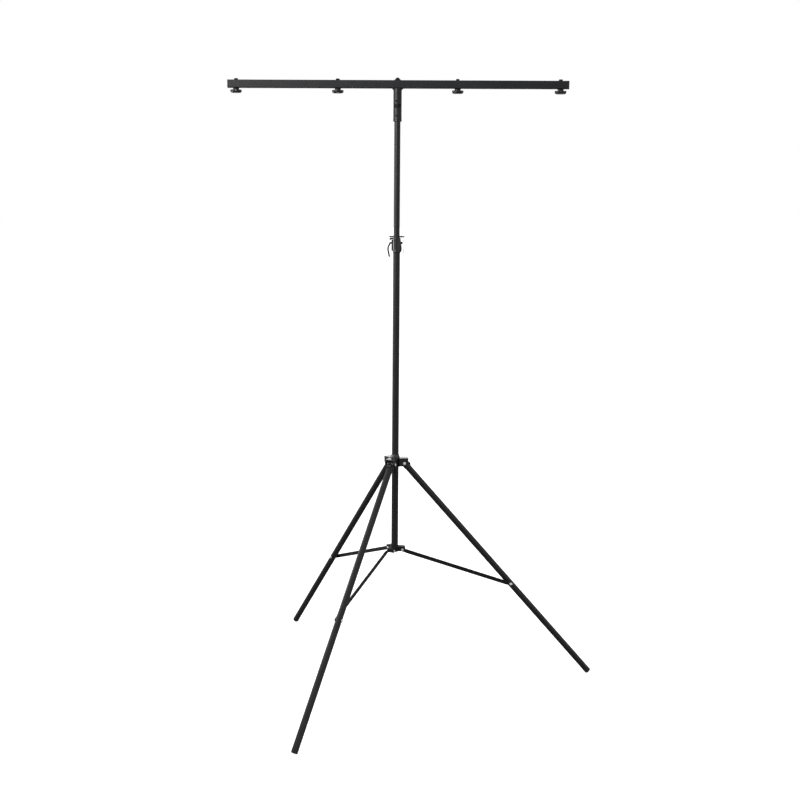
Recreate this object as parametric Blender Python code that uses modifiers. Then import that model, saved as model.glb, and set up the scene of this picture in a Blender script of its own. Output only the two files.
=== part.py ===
"""Light stand with a T-bar: a telescopic mast on a folding tripod.

Units are metres. +Z is up, +X runs along the T-bar, and the origin is on the
floor under the mast's axis. The three legs are alike: each one, with its
brace, is modelled once in its own frame and placed at three azimuths.
"""
import math

import bmesh
import bpy
from mathutils import Matrix, Vector

MM = 0.001

# ------------------------------------------------------------------ sizes
GAP = 0.3 * MM                      # between pieces that touch
SEGMENTS = 24                       # round a large tube

# mast
LOWER_R, LOWER_WALL = 13.5 * MM, 1.4 * MM
LOWER_BOTTOM, LOWER_TOP = 0.537, 1.765
UPPER_R, UPPER_WALL = 11.75 * MM, 1.4 * MM
UPPER_BOTTOM, UPPER_TOP = 1.150, 2.338

# tripod
AZIMUTHS = [math.radians(a) for a in (6.5, 126.5, 246.5)]
HUB_PIVOT_R, HUB_PIVOT_Z = 35.6 * MM, 0.897
LEG_ANGLE = math.radians(40.9)      # from the vertical, open
LEG_FOLDED = math.radians(3.5)      # from the vertical, folded
LEG_LENGTH = 1.1790                 # pivot to the end of the foot
LEG_R, LEG_WALL = 12.5 * MM, 1.2 * MM
BRACE_PIVOT_R, BRACE_PIVOT_Z = 30.5 * MM, 0.542
BRACE_POINT = 0.670                 # pivot to the brace's rivet, down the leg
BRACE_SIDE = 13.0 * MM              # inner face of the brace, beside the leg
BRACE_SHEET, BRACE_HEIGHT, BRACE_WIDTH = 1.6 * MM, 15.0 * MM, 4.8 * MM
FOOT_R, FOOT_SHOWN, FOOT_LENGTH = 12.6 * MM, 20.0 * MM, 45.0 * MM

# hubs
HUB_BOTTOM, HUB_SHOULDER, HUB_TOP = 0.8815, 0.9215, 0.9325
HUB_R, HUB_BORE = 18.0 * MM, 13.8 * MM
ARM_R, ARM_LOW, ARM_HIGH = 52.0 * MM, 0.8855, 0.9185
SLOT_HALF, LUG_HALF, SLOT_TOP = 14.7 * MM, 18.7 * MM, 0.9125
BRACE_HUB_LOW, BRACE_HUB_HIGH = 0.5335, 0.556
BRACE_HUB_R, BRACE_ARM_R, BRACE_ARM_HALF = 17.5 * MM, 42.0 * MM, 12.7 * MM
LOCK_AZIMUTH, LOCK_Z = math.radians(66.5), 0.893

# collar and clamp
COLLAR_LOW, COLLAR_HIGH, COLLAR_R = 1.7285, 1.7875, 15.2 * MM
CLAMP_Y, CLAMP_Z = 20.5 * MM, 1.766
LEVER_X = -25.0 * MM
PIN_Z, PIN_R = 1.7915, 3.0 * MM

# T-head
BAR_LENGTH, BAR_SIDE, BAR_WALL, BAR_CORNER = 1.290, 30.0 * MM, 1.8 * MM, 3.0 * MM
BAR_Z = 2.364
BAR_LOW, BAR_HIGH = BAR_Z - BAR_SIDE / 2, BAR_Z + BAR_SIDE / 2
SOCKET_R, SOCKET_BORE, SOCKET_LOW = 16.0 * MM, 13.2 * MM, 2.234
LAMP_X = (-0.616, -0.2275, 0.2275, 0.616)
BOLT_R = 4.0 * MM
KNOB_R, KNOB_NECK_R = 22.7 * MM, 12.2 * MM
KNOB_TOP, KNOB_DISC_TOP, KNOB_LOW = BAR_LOW - GAP, BAR_LOW - 7.0 * MM, BAR_LOW - 18.5 * MM

# --------------------------------------------------------------- scene set-up
for old in list(bpy.data.objects):
    bpy.data.objects.remove(old, do_unlink=True)

parts = bpy.data.collections.new("light_stand")
cutters = bpy.data.collections.new("cutters")
bpy.context.scene.collection.children.link(parts)
bpy.context.scene.collection.children.link(cutters)


def material(name, colour, metallic, roughness):
    mat = bpy.data.materials.new(name)
    mat.use_nodes = True
    shader = mat.node_tree.nodes["Principled BSDF"]
    shader.inputs["Base Color"].default_value = (*colour, 1.0)
    shader.inputs["Metallic"].default_value = metallic
    shader.inputs["Roughness"].default_value = roughness
    return mat


MATERIALS = {
    "coat": material("black_powder_coat", (0.030, 0.030, 0.034), 0.0, 0.42),
    "plastic": material("black_plastic", (0.018, 0.018, 0.019), 0.0, 0.50),
    "rubber": material("black_rubber", (0.012, 0.012, 0.012), 0.0, 0.80),
    "zinc": material("zinc_steel", (0.62, 0.63, 0.65), 1.0, 0.30),
    "steel": material("grey_steel", (0.30, 0.31, 0.32), 1.0, 0.40),
    "blackened": material("blackened_steel", (0.045, 0.045, 0.047), 0.6, 0.45),
}


# -------------------------------------------------------------- basic shapes
def put(name, mesh, where=None):
    obj = bpy.data.objects.new(name, mesh)
    (where or cutters).objects.link(obj)
    return obj


def helper(obj):
    obj.hide_render = True
    obj.display_type = "WIRE"
    return obj


def turned(profile, segments=SEGMENTS, ring=False):
    """A profile of (radius, height) pairs, outer side from top to bottom, turned round Z."""
    mesh = bpy.data.meshes.new("turned")
    points = [(r, 0.0, z) for r, z in profile]
    edges = [(i, i + 1) for i in range(len(points) - 1)]
    if ring:
        edges.append((len(points) - 1, 0))
    mesh.from_pydata(points, edges, [])
    obj = helper(put("turned", mesh))
    screw = obj.modifiers.new("turn", "SCREW")
    screw.axis = "Z"
    screw.angle = math.tau
    screw.steps = screw.render_steps = segments
    screw.use_merge_vertices = True
    screw.merge_threshold = 0.00001
    return obj


def tube(radius, bore, low, high, segments=SEGMENTS):
    return turned([(radius, high), (radius, low), (bore, low), (bore, high)], segments, ring=True)


def rod(radius, length, centre=(0, 0, 0), axis="Z", segments=20):
    """A solid cylinder along one axis."""
    bm = bmesh.new()
    bmesh.ops.create_cone(bm, cap_ends=True, segments=segments, radius1=radius, radius2=radius, depth=length)
    if axis == "X":
        bmesh.ops.rotate(bm, verts=bm.verts, matrix=Matrix.Rotation(math.pi / 2, 3, "Y"))
    if axis == "Y":
        bmesh.ops.rotate(bm, verts=bm.verts, matrix=Matrix.Rotation(math.pi / 2, 3, "X"))
    bmesh.ops.translate(bm, verts=bm.verts, vec=Vector(centre))
    mesh = bpy.data.meshes.new("rod")
    bm.to_mesh(mesh)
    bm.free()
    return helper(put("rod", mesh))


def block(low, high, bevel=0.0):
    """A box between two corners."""
    low, high = Vector(low), Vector(high)
    bm = bmesh.new()
    bmesh.ops.create_cube(bm, size=1.0)
    bmesh.ops.scale(bm, verts=bm.verts, vec=high - low)
    bmesh.ops.translate(bm, verts=bm.verts, vec=(low + high) / 2)
    mesh = bpy.data.meshes.new("block")
    bm.to_mesh(mesh)
    bm.free()
    obj = helper(put("block", mesh))
    if bevel:
        edge = obj.modifiers.new("edges", "BEVEL")
        edge.width = bevel
        edge.segments = 2
    return obj


def rounded(points, radius, steps=4):
    """A closed outline with each corner rounded."""
    out = []
    n = len(points)
    for i, corner in enumerate(points):
        p = Vector(corner)
        a = Vector(points[i - 1]) - p
        b = Vector(points[(i + 1) % n]) - p
        r = radius[i] if isinstance(radius, (list, tuple)) else radius
        if r <= 0:
            out.append((p.x, p.y))
            continue
        half = a.angle(b) / 2
        reach = min(r / math.tan(half), a.length * 0.49, b.length * 0.49)
        start, end = p + a.normalized() * reach, p + b.normalized() * reach
        for k in range(steps + 1):
            t = k / steps
            q = start.lerp(p, t).lerp(p.lerp(end, t), t)
            out.append((q.x, q.y))
    return out


def plate(outlines, low, high, plane="XZ"):
    """Flat outlines filled and given a thickness from low to high along the third axis."""
    curve = bpy.data.curves.new("outline", "CURVE")
    curve.dimensions = "2D"
    curve.fill_mode = "BOTH"
    curve.extrude = (high - low) / 2
    for outline in outlines:
        spline = curve.splines.new("POLY")
        spline.points.add(len(outline) - 1)
        for point, (u, v) in zip(spline.points, outline):
            point.co = (u, v, 0.0, 1.0)
        spline.use_cyclic_u = True
    drawn = put("outline", curve)
    deps = bpy.context.evaluated_depsgraph_get()
    mesh = bpy.data.meshes.new_from_object(drawn.evaluated_get(deps))
    bpy.data.objects.remove(drawn)
    bm = bmesh.new()
    bm.from_mesh(mesh)
    bmesh.ops.remove_doubles(bm, verts=bm.verts, dist=0.000001)
    bmesh.ops.translate(bm, verts=bm.verts, vec=(0, 0, (low + high) / 2))
    if plane == "XZ":      # u, v, w become x, z, y
        bmesh.ops.transform(bm, verts=bm.verts, matrix=Matrix(((1, 0, 0, 0), (0, 0, 1, 0), (0, 1, 0, 0), (0, 0, 0, 1))))
    if plane == "YZ":      # u, v, w become y, z, x
        bmesh.ops.transform(bm, verts=bm.verts, matrix=Matrix(((0, 0, 1, 0), (1, 0, 0, 0), (0, 1, 0, 0), (0, 0, 0, 1))))
    bmesh.ops.recalc_face_normals(bm, faces=bm.faces)
    bm.to_mesh(mesh)
    bm.free()
    return helper(put("plate", mesh))


def torus(ring_r, wire_r, centre, axis="X", turns=16, sides=6):
    """A ring of round wire."""
    profile = [
        (ring_r + wire_r * math.cos(a), -wire_r * math.sin(a))
        for a in (math.tau * k / sides for k in range(sides))
    ]
    obj = turned(profile, turns, ring=True)
    mesh = bake(obj)
    if axis == "X":
        mesh.transform(Matrix.Rotation(math.pi / 2, 4, "Y"))
    if axis == "Y":
        mesh.transform(Matrix.Rotation(math.pi / 2, 4, "X"))
    mesh.transform(Matrix.Translation(centre))
    return helper(put("torus", mesh))


def turn_about(obj, angle):
    """Turns a helper shape round Z."""
    obj.rotation_euler = (0, 0, angle)
    return obj


def bake(obj):
    """The mesh that an object's modifiers give; the object goes."""
    bpy.context.view_layer.update()
    deps = bpy.context.evaluated_depsgraph_get()
    mesh = bpy.data.meshes.new_from_object(obj.evaluated_get(deps))
    mesh.transform(obj.matrix_world)
    bpy.data.objects.remove(obj)
    return mesh


def combine(base, others, operation):
    """Joins others to a shape, or cuts them out of it."""
    for other in others:
        boolean = base.modifiers.new(operation.lower(), "BOOLEAN")
        boolean.operation = operation
        boolean.object = other
    mesh = bake(base)
    for other in others:
        bpy.data.objects.remove(other)
    return helper(put("shape", mesh))


def union(base, *others):
    return combine(base, others, "UNION")


def cut(base, *others):
    return combine(base, others, "DIFFERENCE")


def part(name, shape, finish, matrix=None, origin=None):
    """Names a finished shape. Its origin goes to the joint or the piece's own centre."""
    mesh = shape if isinstance(shape, bpy.types.Mesh) else bake(shape)
    mesh.name = name
    if not mesh.materials:
        mesh.materials.append(MATERIALS[finish])
    if origin is not None:
        mesh.transform(Matrix.Translation(-Vector(origin)))
        matrix = Matrix.Translation(origin)
    mesh.shade_smooth()
    mesh.set_sharp_from_angle(angle=math.radians(35))
    obj = put(name, mesh, parts)
    if matrix is not None:
        obj.matrix_world = matrix
    return obj


def pivot(name, matrix):
    """An empty on a joint's axis."""
    obj = put(name, None, parts)
    obj.empty_display_size = 0.03
    obj.matrix_world = matrix
    return obj


def hang(obj, parent):
    """Parents an object and keeps it where it stands."""
    bpy.context.view_layer.update()
    obj.parent = parent
    obj.matrix_parent_inverse = parent.matrix_world.inverted()


# ---------------------------------------------------------------------- mast
part("lower_mast_tube", tube(LOWER_R, LOWER_R - LOWER_WALL, LOWER_BOTTOM, LOWER_TOP), "coat", origin=(0, 0, LOWER_BOTTOM))

part(
    "mast_bottom_plug",
    turned([
        (0, LOWER_BOTTOM + 20 * MM), (11.7 * MM, LOWER_BOTTOM + 20 * MM), (11.7 * MM, LOWER_BOTTOM - GAP),
        (13.3 * MM, LOWER_BOTTOM - GAP), (13.3 * MM, BRACE_HUB_LOW + GAP), (12.5 * MM, BRACE_HUB_LOW - 0.5 * MM),
        (0, BRACE_HUB_LOW - 0.5 * MM),
    ], 24),
    "plastic",
)

upper = tube(UPPER_R, UPPER_R - UPPER_WALL, UPPER_BOTTOM, UPPER_TOP)
part("upper_mast_tube", cut(upper, rod(PIN_R + 0.3 * MM, 40 * MM, (0, 0, PIN_Z), "X", 12)), "coat", origin=(0, 0, UPPER_BOTTOM))

part(
    "upper_tube_plug",
    turned([
        (0, UPPER_BOTTOM + 15 * MM), (10.0 * MM, UPPER_BOTTOM + 15 * MM), (10.0 * MM, UPPER_BOTTOM - GAP),
        (11.6 * MM, UPPER_BOTTOM - GAP), (11.6 * MM, UPPER_BOTTOM - 4 * MM), (0, UPPER_BOTTOM - 4 * MM),
    ], 24),
    "plastic",
)

# ----------------------------------------------------------------- brace hub
hub = turned([
    (16.5 * MM, BRACE_HUB_HIGH), (BRACE_HUB_R, BRACE_HUB_HIGH - 1.5 * MM), (BRACE_HUB_R, BRACE_HUB_LOW + 1.5 * MM),
    (16.0 * MM, BRACE_HUB_LOW), (10 * MM, BRACE_HUB_LOW), (10 * MM, BRACE_HUB_HIGH),
], ring=True)
arm_outline = rounded(
    [(15.2 * MM, BRACE_HUB_LOW + 1.2 * MM), (BRACE_ARM_R, BRACE_HUB_LOW + 2.2 * MM),
     (BRACE_ARM_R, BRACE_HUB_HIGH - 2.5 * MM), (15.2 * MM, BRACE_HUB_HIGH - 0.7 * MM)],
    [0, 7 * MM, 2.5 * MM, 0],
)
arms, holes = [], []
for azimuth in AZIMUTHS:
    arms.append(turn_about(plate([arm_outline], -BRACE_ARM_HALF, BRACE_ARM_HALF), azimuth))
    holes.append(turn_about(rod(3.3 * MM, 40 * MM, (BRACE_PIVOT_R, 0, BRACE_PIVOT_Z), "Y", 12), azimuth))
hub = union(hub, *arms)
hub = cut(hub, *holes, rod(HUB_BORE, 80 * MM, (0, 0, 0.542), "Z", SEGMENTS))
part("brace_hub", hub, "plastic")

rivet = bake(union(
    rod(3.0 * MM, 29.9 * MM, (0, -0.95 * MM, 0), "Y", 12),
    rod(5.0 * MM, 2.0 * MM, (0, -15.9 * MM, 0), "Y", 16),
    rod(5.0 * MM, 2.0 * MM, (0, 14.0 * MM, 0), "Y", 16),
))
for i, azimuth in enumerate(AZIMUTHS, 1):
    place = Matrix.Rotation(azimuth, 4, "Z") @ Matrix.Translation((BRACE_PIVOT_R, 0, BRACE_PIVOT_Z))
    part(f"brace_hub_rivet_{i}", rivet, "zinc", place)

# ------------------------------------------------------------------- leg hub
hub = turned([
    (14.7 * MM, HUB_TOP), (HUB_R, HUB_SHOULDER), (HUB_R, HUB_BOTTOM + 1.5 * MM), (16.5 * MM, HUB_BOTTOM),
    (10 * MM, HUB_BOTTOM), (10 * MM, HUB_TOP),
], ring=True)
arm_outline = rounded(
    [(15.6 * MM, ARM_LOW), (ARM_R - 3 * MM, ARM_LOW), (ARM_R, ARM_HIGH), (15.6 * MM, ARM_HIGH)],
    [0, 11 * MM, 2.5 * MM, 0],
)
arms, slots = [], []
for azimuth in AZIMUTHS:
    arms.append(turn_about(plate([arm_outline], -LUG_HALF, LUG_HALF), azimuth))
    slots.append(turn_about(block((HUB_R + 1 * MM, -SLOT_HALF, ARM_LOW - 9 * MM), (ARM_R + 9 * MM, SLOT_HALF, SLOT_TOP)), azimuth))
    slots.append(turn_about(rod(4.3 * MM, 60 * MM, (HUB_PIVOT_R, 0, HUB_PIVOT_Z), "Y", 12), azimuth))
boss = turn_about(rod(8.0 * MM, 13 * MM, (20.5 * MM, 0, LOCK_Z), "X", 16), LOCK_AZIMUTH)
hub = union(hub, *arms, boss)
hub = cut(
    hub, *slots,
    rod(HUB_BORE, 120 * MM, (0, 0, 0.91), "Z", SEGMENTS),
    turn_about(rod(4.3 * MM, 30 * MM, (20 * MM, 0, LOCK_Z), "X", 12), LOCK_AZIMUTH),
)
part("leg_hub", hub, "plastic")

rivet = bake(union(
    rod(4.0 * MM, 40.0 * MM, (0, 0, 0), "Y", 12),
    rod(6.2 * MM, 2.0 * MM, (0, -20.0 * MM, 0), "Y", 16),
    rod(6.2 * MM, 2.0 * MM, (0, 20.0 * MM, 0), "Y", 16),
))
for i, azimuth in enumerate(AZIMUTHS, 1):
    place = Matrix.Rotation(azimuth, 4, "Z") @ Matrix.Translation((HUB_PIVOT_R, 0, HUB_PIVOT_Z))
    part(f"leg_rivet_{i}", rivet, "zinc", place)

# the lock that holds the hub on the mast, at the back between two legs
lock = Matrix.Rotation(LOCK_AZIMUTH, 4, "Z") @ Matrix.Translation((0, 0, LOCK_Z))
lock_pivot = pivot("hub_lock_pivot", lock)
screw = part("hub_lock_screw", bake(rod(4.0 * MM, 22.1 * MM, (25.05 * MM, 0, 0), "X", 12)), "zinc", lock)
knob_points = [
    (math.cos(a) * (11.3 + 0.9 * math.cos(6 * a)) * MM, math.sin(a) * (11.3 + 0.9 * math.cos(6 * a)) * MM)
    for a in (math.tau * k / 36 for k in range(36))
]
knob = union(plate([knob_points], 31.0 * MM, 43.0 * MM, "YZ"), rod(7.0 * MM, 3.5 * MM, (29.7 * MM, 0, 0), "X", 16))
knob = cut(knob, rod(4.3 * MM, 12 * MM, (31.0 * MM, 0, 0), "X", 12))
knob = part("hub_lock_knob", bake(knob), "plastic", lock)
hang(screw, lock_pivot)
hang(knob, lock_pivot)

# -------------------------------------------------------------- legs, braces
# a leg's own frame: the origin on its pivot, the leg down -Z, the pivot along Y
leg_tube = cut(
    tube(LEG_R, LEG_R - LEG_WALL, -(LEG_LENGTH - FOOT_SHOWN - GAP), -12.3 * MM, 20),
    rod(4.3 * MM, 40 * MM, (0, 0, -BRACE_POINT), "Y", 12),
)
leg_tube = bake(leg_tube)

# a block on the cap's outer side stops the leg against the open position
stop = [(9.0 * MM, -4.0 * MM), (13.5 * MM, -4.8 * MM), (18.8 * MM, -13.0 * MM), (18.4 * MM, -16.5 * MM), (13.6 * MM, -23.0 * MM), (9.0 * MM, -23.0 * MM)]
leg_cap = union(
    rod(13.2 * MM, 28.6 * MM, (0, 0, 0), "Y", 20),
    rod(14.2 * MM, 23.5 * MM, (0, 0, -11.75 * MM), "Z", 20),
    plate([stop], -9 * MM, 9 * MM),
)
leg_cap = bake(cut(
    leg_cap,
    rod(LEG_R + 0.3 * MM, 20 * MM, (0, 0, -22.0 * MM), "Z", 20),
    rod(4.3 * MM, 40 * MM, (0, 0, 0), "Y", 12),
))

foot_low, foot_high = -LEG_LENGTH, -(LEG_LENGTH - FOOT_LENGTH)
spigot_r = LEG_R - LEG_WALL - 0.3 * MM
foot = bake(turned([
    (0, foot_high), (spigot_r - 1.0 * MM, foot_high), (spigot_r, foot_high - 1.5 * MM), (spigot_r, foot_low + FOOT_SHOWN),
    (FOOT_R, foot_low + FOOT_SHOWN), (FOOT_R, foot_low + 1.0 * MM), (FOOT_R - 1.0 * MM, foot_low), (0, foot_low),
], 20))
# where the open leg stands, the rubber is worn flat on the floor
floor_normal = Vector((math.sin(LEG_ANGLE), 0, math.cos(LEG_ANGLE)))
bm = bmesh.new()
bm.from_mesh(foot)
flat = bmesh.ops.bisect_plane(
    bm, geom=bm.verts[:] + bm.edges[:] + bm.faces[:], dist=0.0000001,
    plane_co=floor_normal * -HUB_PIVOT_Z, plane_no=floor_normal, clear_inner=True,
)
bmesh.ops.contextual_create(bm, geom=[e for e in flat["geom_cut"] if isinstance(e, bmesh.types.BMEdge)])
bmesh.ops.recalc_face_normals(bm, faces=bm.faces)
bm.to_mesh(foot)
bm.free()

stud = bake(union(
    rod(4.0 * MM, 26.2 * MM, (0, 0.8 * MM, -BRACE_POINT), "Y", 12),
    rod(6.0 * MM, 2.0 * MM, (0, 13.9 * MM, -BRACE_POINT), "Y", 16),
))

# a brace's own frame: the origin on its hub pivot, the brace along +X
rivet_r = HUB_PIVOT_R + BRACE_POINT * math.sin(LEG_ANGLE)
rivet_z = HUB_PIVOT_Z - BRACE_POINT * math.cos(LEG_ANGLE)
BRACE_LENGTH = math.hypot(rivet_r - BRACE_PIVOT_R, rivet_z - BRACE_PIVOT_Z)
BRACE_ANGLE = math.atan2(rivet_z - BRACE_PIVOT_Z, rivet_r - BRACE_PIVOT_R)

end_r = BRACE_HEIGHT / 2
stadium = [(end_r * math.cos(a), end_r * math.sin(a)) for a in (math.pi / 2 + math.pi * k / 8 for k in range(9))]
stadium += [(BRACE_LENGTH + end_r * math.cos(a), end_r * math.sin(a)) for a in (-math.pi / 2 + math.pi * k / 8 for k in range(9))]
inner = -BRACE_SIDE
web = plate([stadium], inner - BRACE_SHEET, inner)
flanges = [
    block((15 * MM, inner - BRACE_WIDTH, side * end_r - (BRACE_SHEET if side > 0 else 0)),
          (BRACE_LENGTH - 15 * MM, inner - 0.4 * MM, side * end_r + (BRACE_SHEET if side < 0 else 0)))
    for side in (-1, 1)
]
brace = bake(cut(
    union(web, *flanges),
    rod(3.3 * MM, 40 * MM, (0, 0, 0), "Y", 12),
    rod(4.3 * MM, 40 * MM, (BRACE_LENGTH, 0, 0), "Y", 12),
))
brace_rivet = bake(union(
    rod(4.0 * MM, 2.4 * MM, (BRACE_LENGTH, inner - 1.3 * MM, 0), "Y", 12),
    rod(6.0 * MM, 2.0 * MM, (BRACE_LENGTH, inner - BRACE_SHEET - 1.3 * MM, 0), "Y", 16),
))

for i, azimuth in enumerate(AZIMUTHS, 1):
    turn = Matrix.Rotation(azimuth, 4, "Z")
    leg = turn @ Matrix.Translation((HUB_PIVOT_R, 0, HUB_PIVOT_Z)) @ Matrix.Rotation(-LEG_ANGLE, 4, "Y")
    leg_pivot = pivot(f"leg_pivot_{i}", leg)
    for name, mesh, finish in (
        ("leg_tube", leg_tube, "coat"), ("leg_cap", leg_cap, "plastic"),
        ("leg_foot", foot, "rubber"), ("leg_stud", stud, "zinc"),
    ):
        hang(part(f"{name}_{i}", mesh, finish, leg), leg_pivot)
    arm = turn @ Matrix.Translation((BRACE_PIVOT_R, 0, BRACE_PIVOT_Z)) @ Matrix.Rotation(-BRACE_ANGLE, 4, "Y")
    brace_pivot = pivot(f"brace_pivot_{i}", arm)
    hang(part(f"brace_{i}", brace, "coat", arm), brace_pivot)
    hang(part(f"brace_rivet_{i}", brace_rivet, "zinc", arm), brace_pivot)

# --------------------------------------------------------- collar and clamp
collar = turned([
    (14.4 * MM, COLLAR_HIGH), (COLLAR_R, COLLAR_HIGH - 1.5 * MM), (COLLAR_R, COLLAR_LOW + 2 * MM),
    (14.5 * MM, COLLAR_LOW), (9 * MM, COLLAR_LOW), (9 * MM, COLLAR_HIGH),
], ring=True)
ears = block((-15.5 * MM, 8 * MM, 1.752), (15.5 * MM, 28 * MM, 1.7868), 2.0 * MM)
bulge = plate([rounded(
    [(4 * MM, 1.7862), (15.4 * MM, 1.7862), (17.4 * MM, 1.766), (20.3 * MM, 1.749), (20.0 * MM, 1.737), (14.0 * MM, 1.7292), (4 * MM, 1.7292)],
    [0, 4 * MM, 20 * MM, 9 * MM, 9 * MM, 4 * MM, 0],
)], -9 * MM, 13 * MM)
arm = plate([rounded(
    [(-12 * MM, 1.7868), (-19 * MM, 1.7868), (-28.5 * MM, 1.7856), (-28.5 * MM, 1.7770), (-22.3 * MM, 1.7782), (-21.3 * MM, 1.7803), (-12 * MM, 1.7795)],
    [0, 6 * MM, 2.6 * MM, 2.6 * MM, 0.6 * MM, 0.6 * MM, 0],
)], 11 * MM, 27.6 * MM)
collar = union(collar, ears, bulge, arm)
collar = cut(
    collar,
    rod(HUB_BORE, 200 * MM, (0, 0, 1.76), "Z", SEGMENTS),
    block((-1.25 * MM, 11 * MM, 1.70), (1.25 * MM, 40 * MM, 1.80)),
    rod(3.4 * MM, 80 * MM, (0, CLAMP_Y, CLAMP_Z), "X", 12),
)
part("mast_collar", collar, "plastic", origin=(0, 0, COLLAR_LOW))

part("collar_liner", tube(13.4 * MM, 12.0 * MM, LOWER_TOP + 0.5 * MM, COLLAR_HIGH - 0.2 * MM), "plastic")

clamp_bolt = union(
    rod(3.0 * MM, 46.5 * MM, (-1.75 * MM, CLAMP_Y, CLAMP_Z), "X", 12),
    rod(3.2 * MM, 17.0 * MM, (LEVER_X, CLAMP_Y, CLAMP_Z), "Y", 16),
)
part("clamp_bolt", clamp_bolt, "zinc")

clamp_nut = union(
    rod(5.6 * MM, 4.0 * MM, (17.8 * MM, CLAMP_Y, CLAMP_Z), "X", 6),
    rod(4.4 * MM, 5.4 * MM, (20.1 * MM, CLAMP_Y, CLAMP_Z), "X", 12),
)
clamp_nut = cut(clamp_nut, rod(3.3 * MM, 12 * MM, (15.8 * MM, CLAMP_Y, CLAMP_Z), "X", 12))
part("clamp_nut", clamp_nut, "blackened")

cam_plate = plate([rounded(
    [(CLAMP_Y - 7.5 * MM, 1.7785), (CLAMP_Y + 7.0 * MM, 1.7785), (CLAMP_Y + 7.0 * MM, 1.736), (CLAMP_Y - 7.5 * MM, 1.736)], 4 * MM,
)], -20.6 * MM, -15.8 * MM, "YZ")
part("cam_plate", cut(cam_plate, rod(3.4 * MM, 20 * MM, (-18 * MM, CLAMP_Y, CLAMP_Z), "X", 12)), "blackened")

# the lever is a bent strip: a path in the XZ plane, with an eye round its pivot
lever_path = [(-0.8, -1.0), (-3.1, -5.0), (-6.3, -11.0), (-8.6, -18.0), (-9.0, -26.0), (-7.7, -34.0), (-5.6, -43.0), (-3.9, -54.0)]
half_width = [3.1, 3.2, 3.0, 2.9, 2.9, 2.9, 2.9, 2.7]
left, right = [], []
for i, (x, z) in enumerate(lever_path):
    before, after = Vector(lever_path[max(i - 1, 0)]), Vector(lever_path[min(i + 1, len(lever_path) - 1)])
    along = (after - before).normalized()
    side = Vector((-along.y, along.x)) * half_width[i]
    left.append((LEVER_X + (x + side.x) * MM, CLAMP_Z + (z + side.y) * MM))
    right.append((LEVER_X + (x - side.x) * MM, CLAMP_Z + (z - side.y) * MM))
blade = plate([left + right[::-1]], CLAMP_Y - 8 * MM, CLAMP_Y + 7.5 * MM)
lever = union(blade, rod(4.0 * MM, 15.9 * MM, (LEVER_X, CLAMP_Y - 0.25 * MM, CLAMP_Z), "Y", 24))
lever = cut(
    lever,
    rod(3.5 * MM, 40 * MM, (LEVER_X, CLAMP_Y, CLAMP_Z), "Y", 16),
    rod(8.0 * MM, 7.4 * MM, (LEVER_X, CLAMP_Y, CLAMP_Z), "Y", 24),
)
part("clamp_lever", lever, "blackened", origin=(LEVER_X, CLAMP_Y, CLAMP_Z))

# ---------------------------------------------------------------- safety pin
pin = union(
    rod(PIN_R, 48.0 * MM, (-5.0 * MM, 0, PIN_Z), "X", 12),
    rod(4.4 * MM, 3.5 * MM, (19.8 * MM, 0, PIN_Z), "X", 16),
    block((21.0 * MM, -1.5 * MM, PIN_Z - 2.8 * MM), (26.0 * MM, 1.5 * MM, PIN_Z + 2.8 * MM)),
    rod(3.6 * MM, 3.0 * MM, (27.6 * MM, 0, PIN_Z), "Y", 16),
)
pin = cut(pin, rod(1.5 * MM, 20 * MM, (28.0 * MM, 0, PIN_Z - 0.3 * MM), "Y", 12))
part("safety_pin", pin, "steel", origin=(0, 0, PIN_Z))
ring_z = PIN_Z - 0.5 * MM - 5.5 * MM
part("pin_split_ring", torus(5.5 * MM, 0.75 * MM, (28.0 * MM, 0, ring_z)), "steel")

# the wire lanyard hangs from the ring; its points come from one smooth curve
LANYARD_R = 1.0 * MM
lanyard_top = ring_z - 5.5 * MM - 0.75 * MM - GAP
LANYARD_ROUTE = [(28.0, 0.0), (28.2, -8.0), (28.9, -18.0), (28.6, -29.0), (26.6, -39.0), (25.7, -50.0)]


def smooth(route, count):
    """Points along a smooth curve through a route's own points."""
    out = []
    n = len(route)
    for k in range(count + 1):
        u = k / count * (n - 1)
        i = min(int(u), n - 2)
        t = u - i
        p = [Vector(route[min(max(j, 0), n - 1)]) for j in (i - 1, i, i + 1, i + 2)]
        out.append(0.5 * (2 * p[1] + (p[2] - p[0]) * t + (2 * p[0] - 5 * p[1] + 4 * p[2] - p[3]) * t ** 2
                          + (3 * p[1] - p[0] - 3 * p[2] + p[3]) * t ** 3))
    return out


wire = bpy.data.curves.new("lanyard", "CURVE")
wire.dimensions = "3D"
wire.bevel_depth = LANYARD_R
wire.bevel_resolution = 2
wire.use_fill_caps = True
spline = wire.splines.new("POLY")
route = smooth([(x * MM, z * MM) for x, z in LANYARD_ROUTE], 14)
spline.points.add(len(route) - 1)
for point, q in zip(spline.points, route):
    point.co = (q.x, 0.0, lanyard_top + q.y, 1.0)
wire.materials.append(MATERIALS["steel"])
put("lanyard", wire, parts)
end = route[-1]
part("lanyard_ring", torus(4.0 * MM, 0.8 * MM, (end.x, 0, lanyard_top + end.y - GAP - 4.8 * MM), "Y"), "steel")

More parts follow.
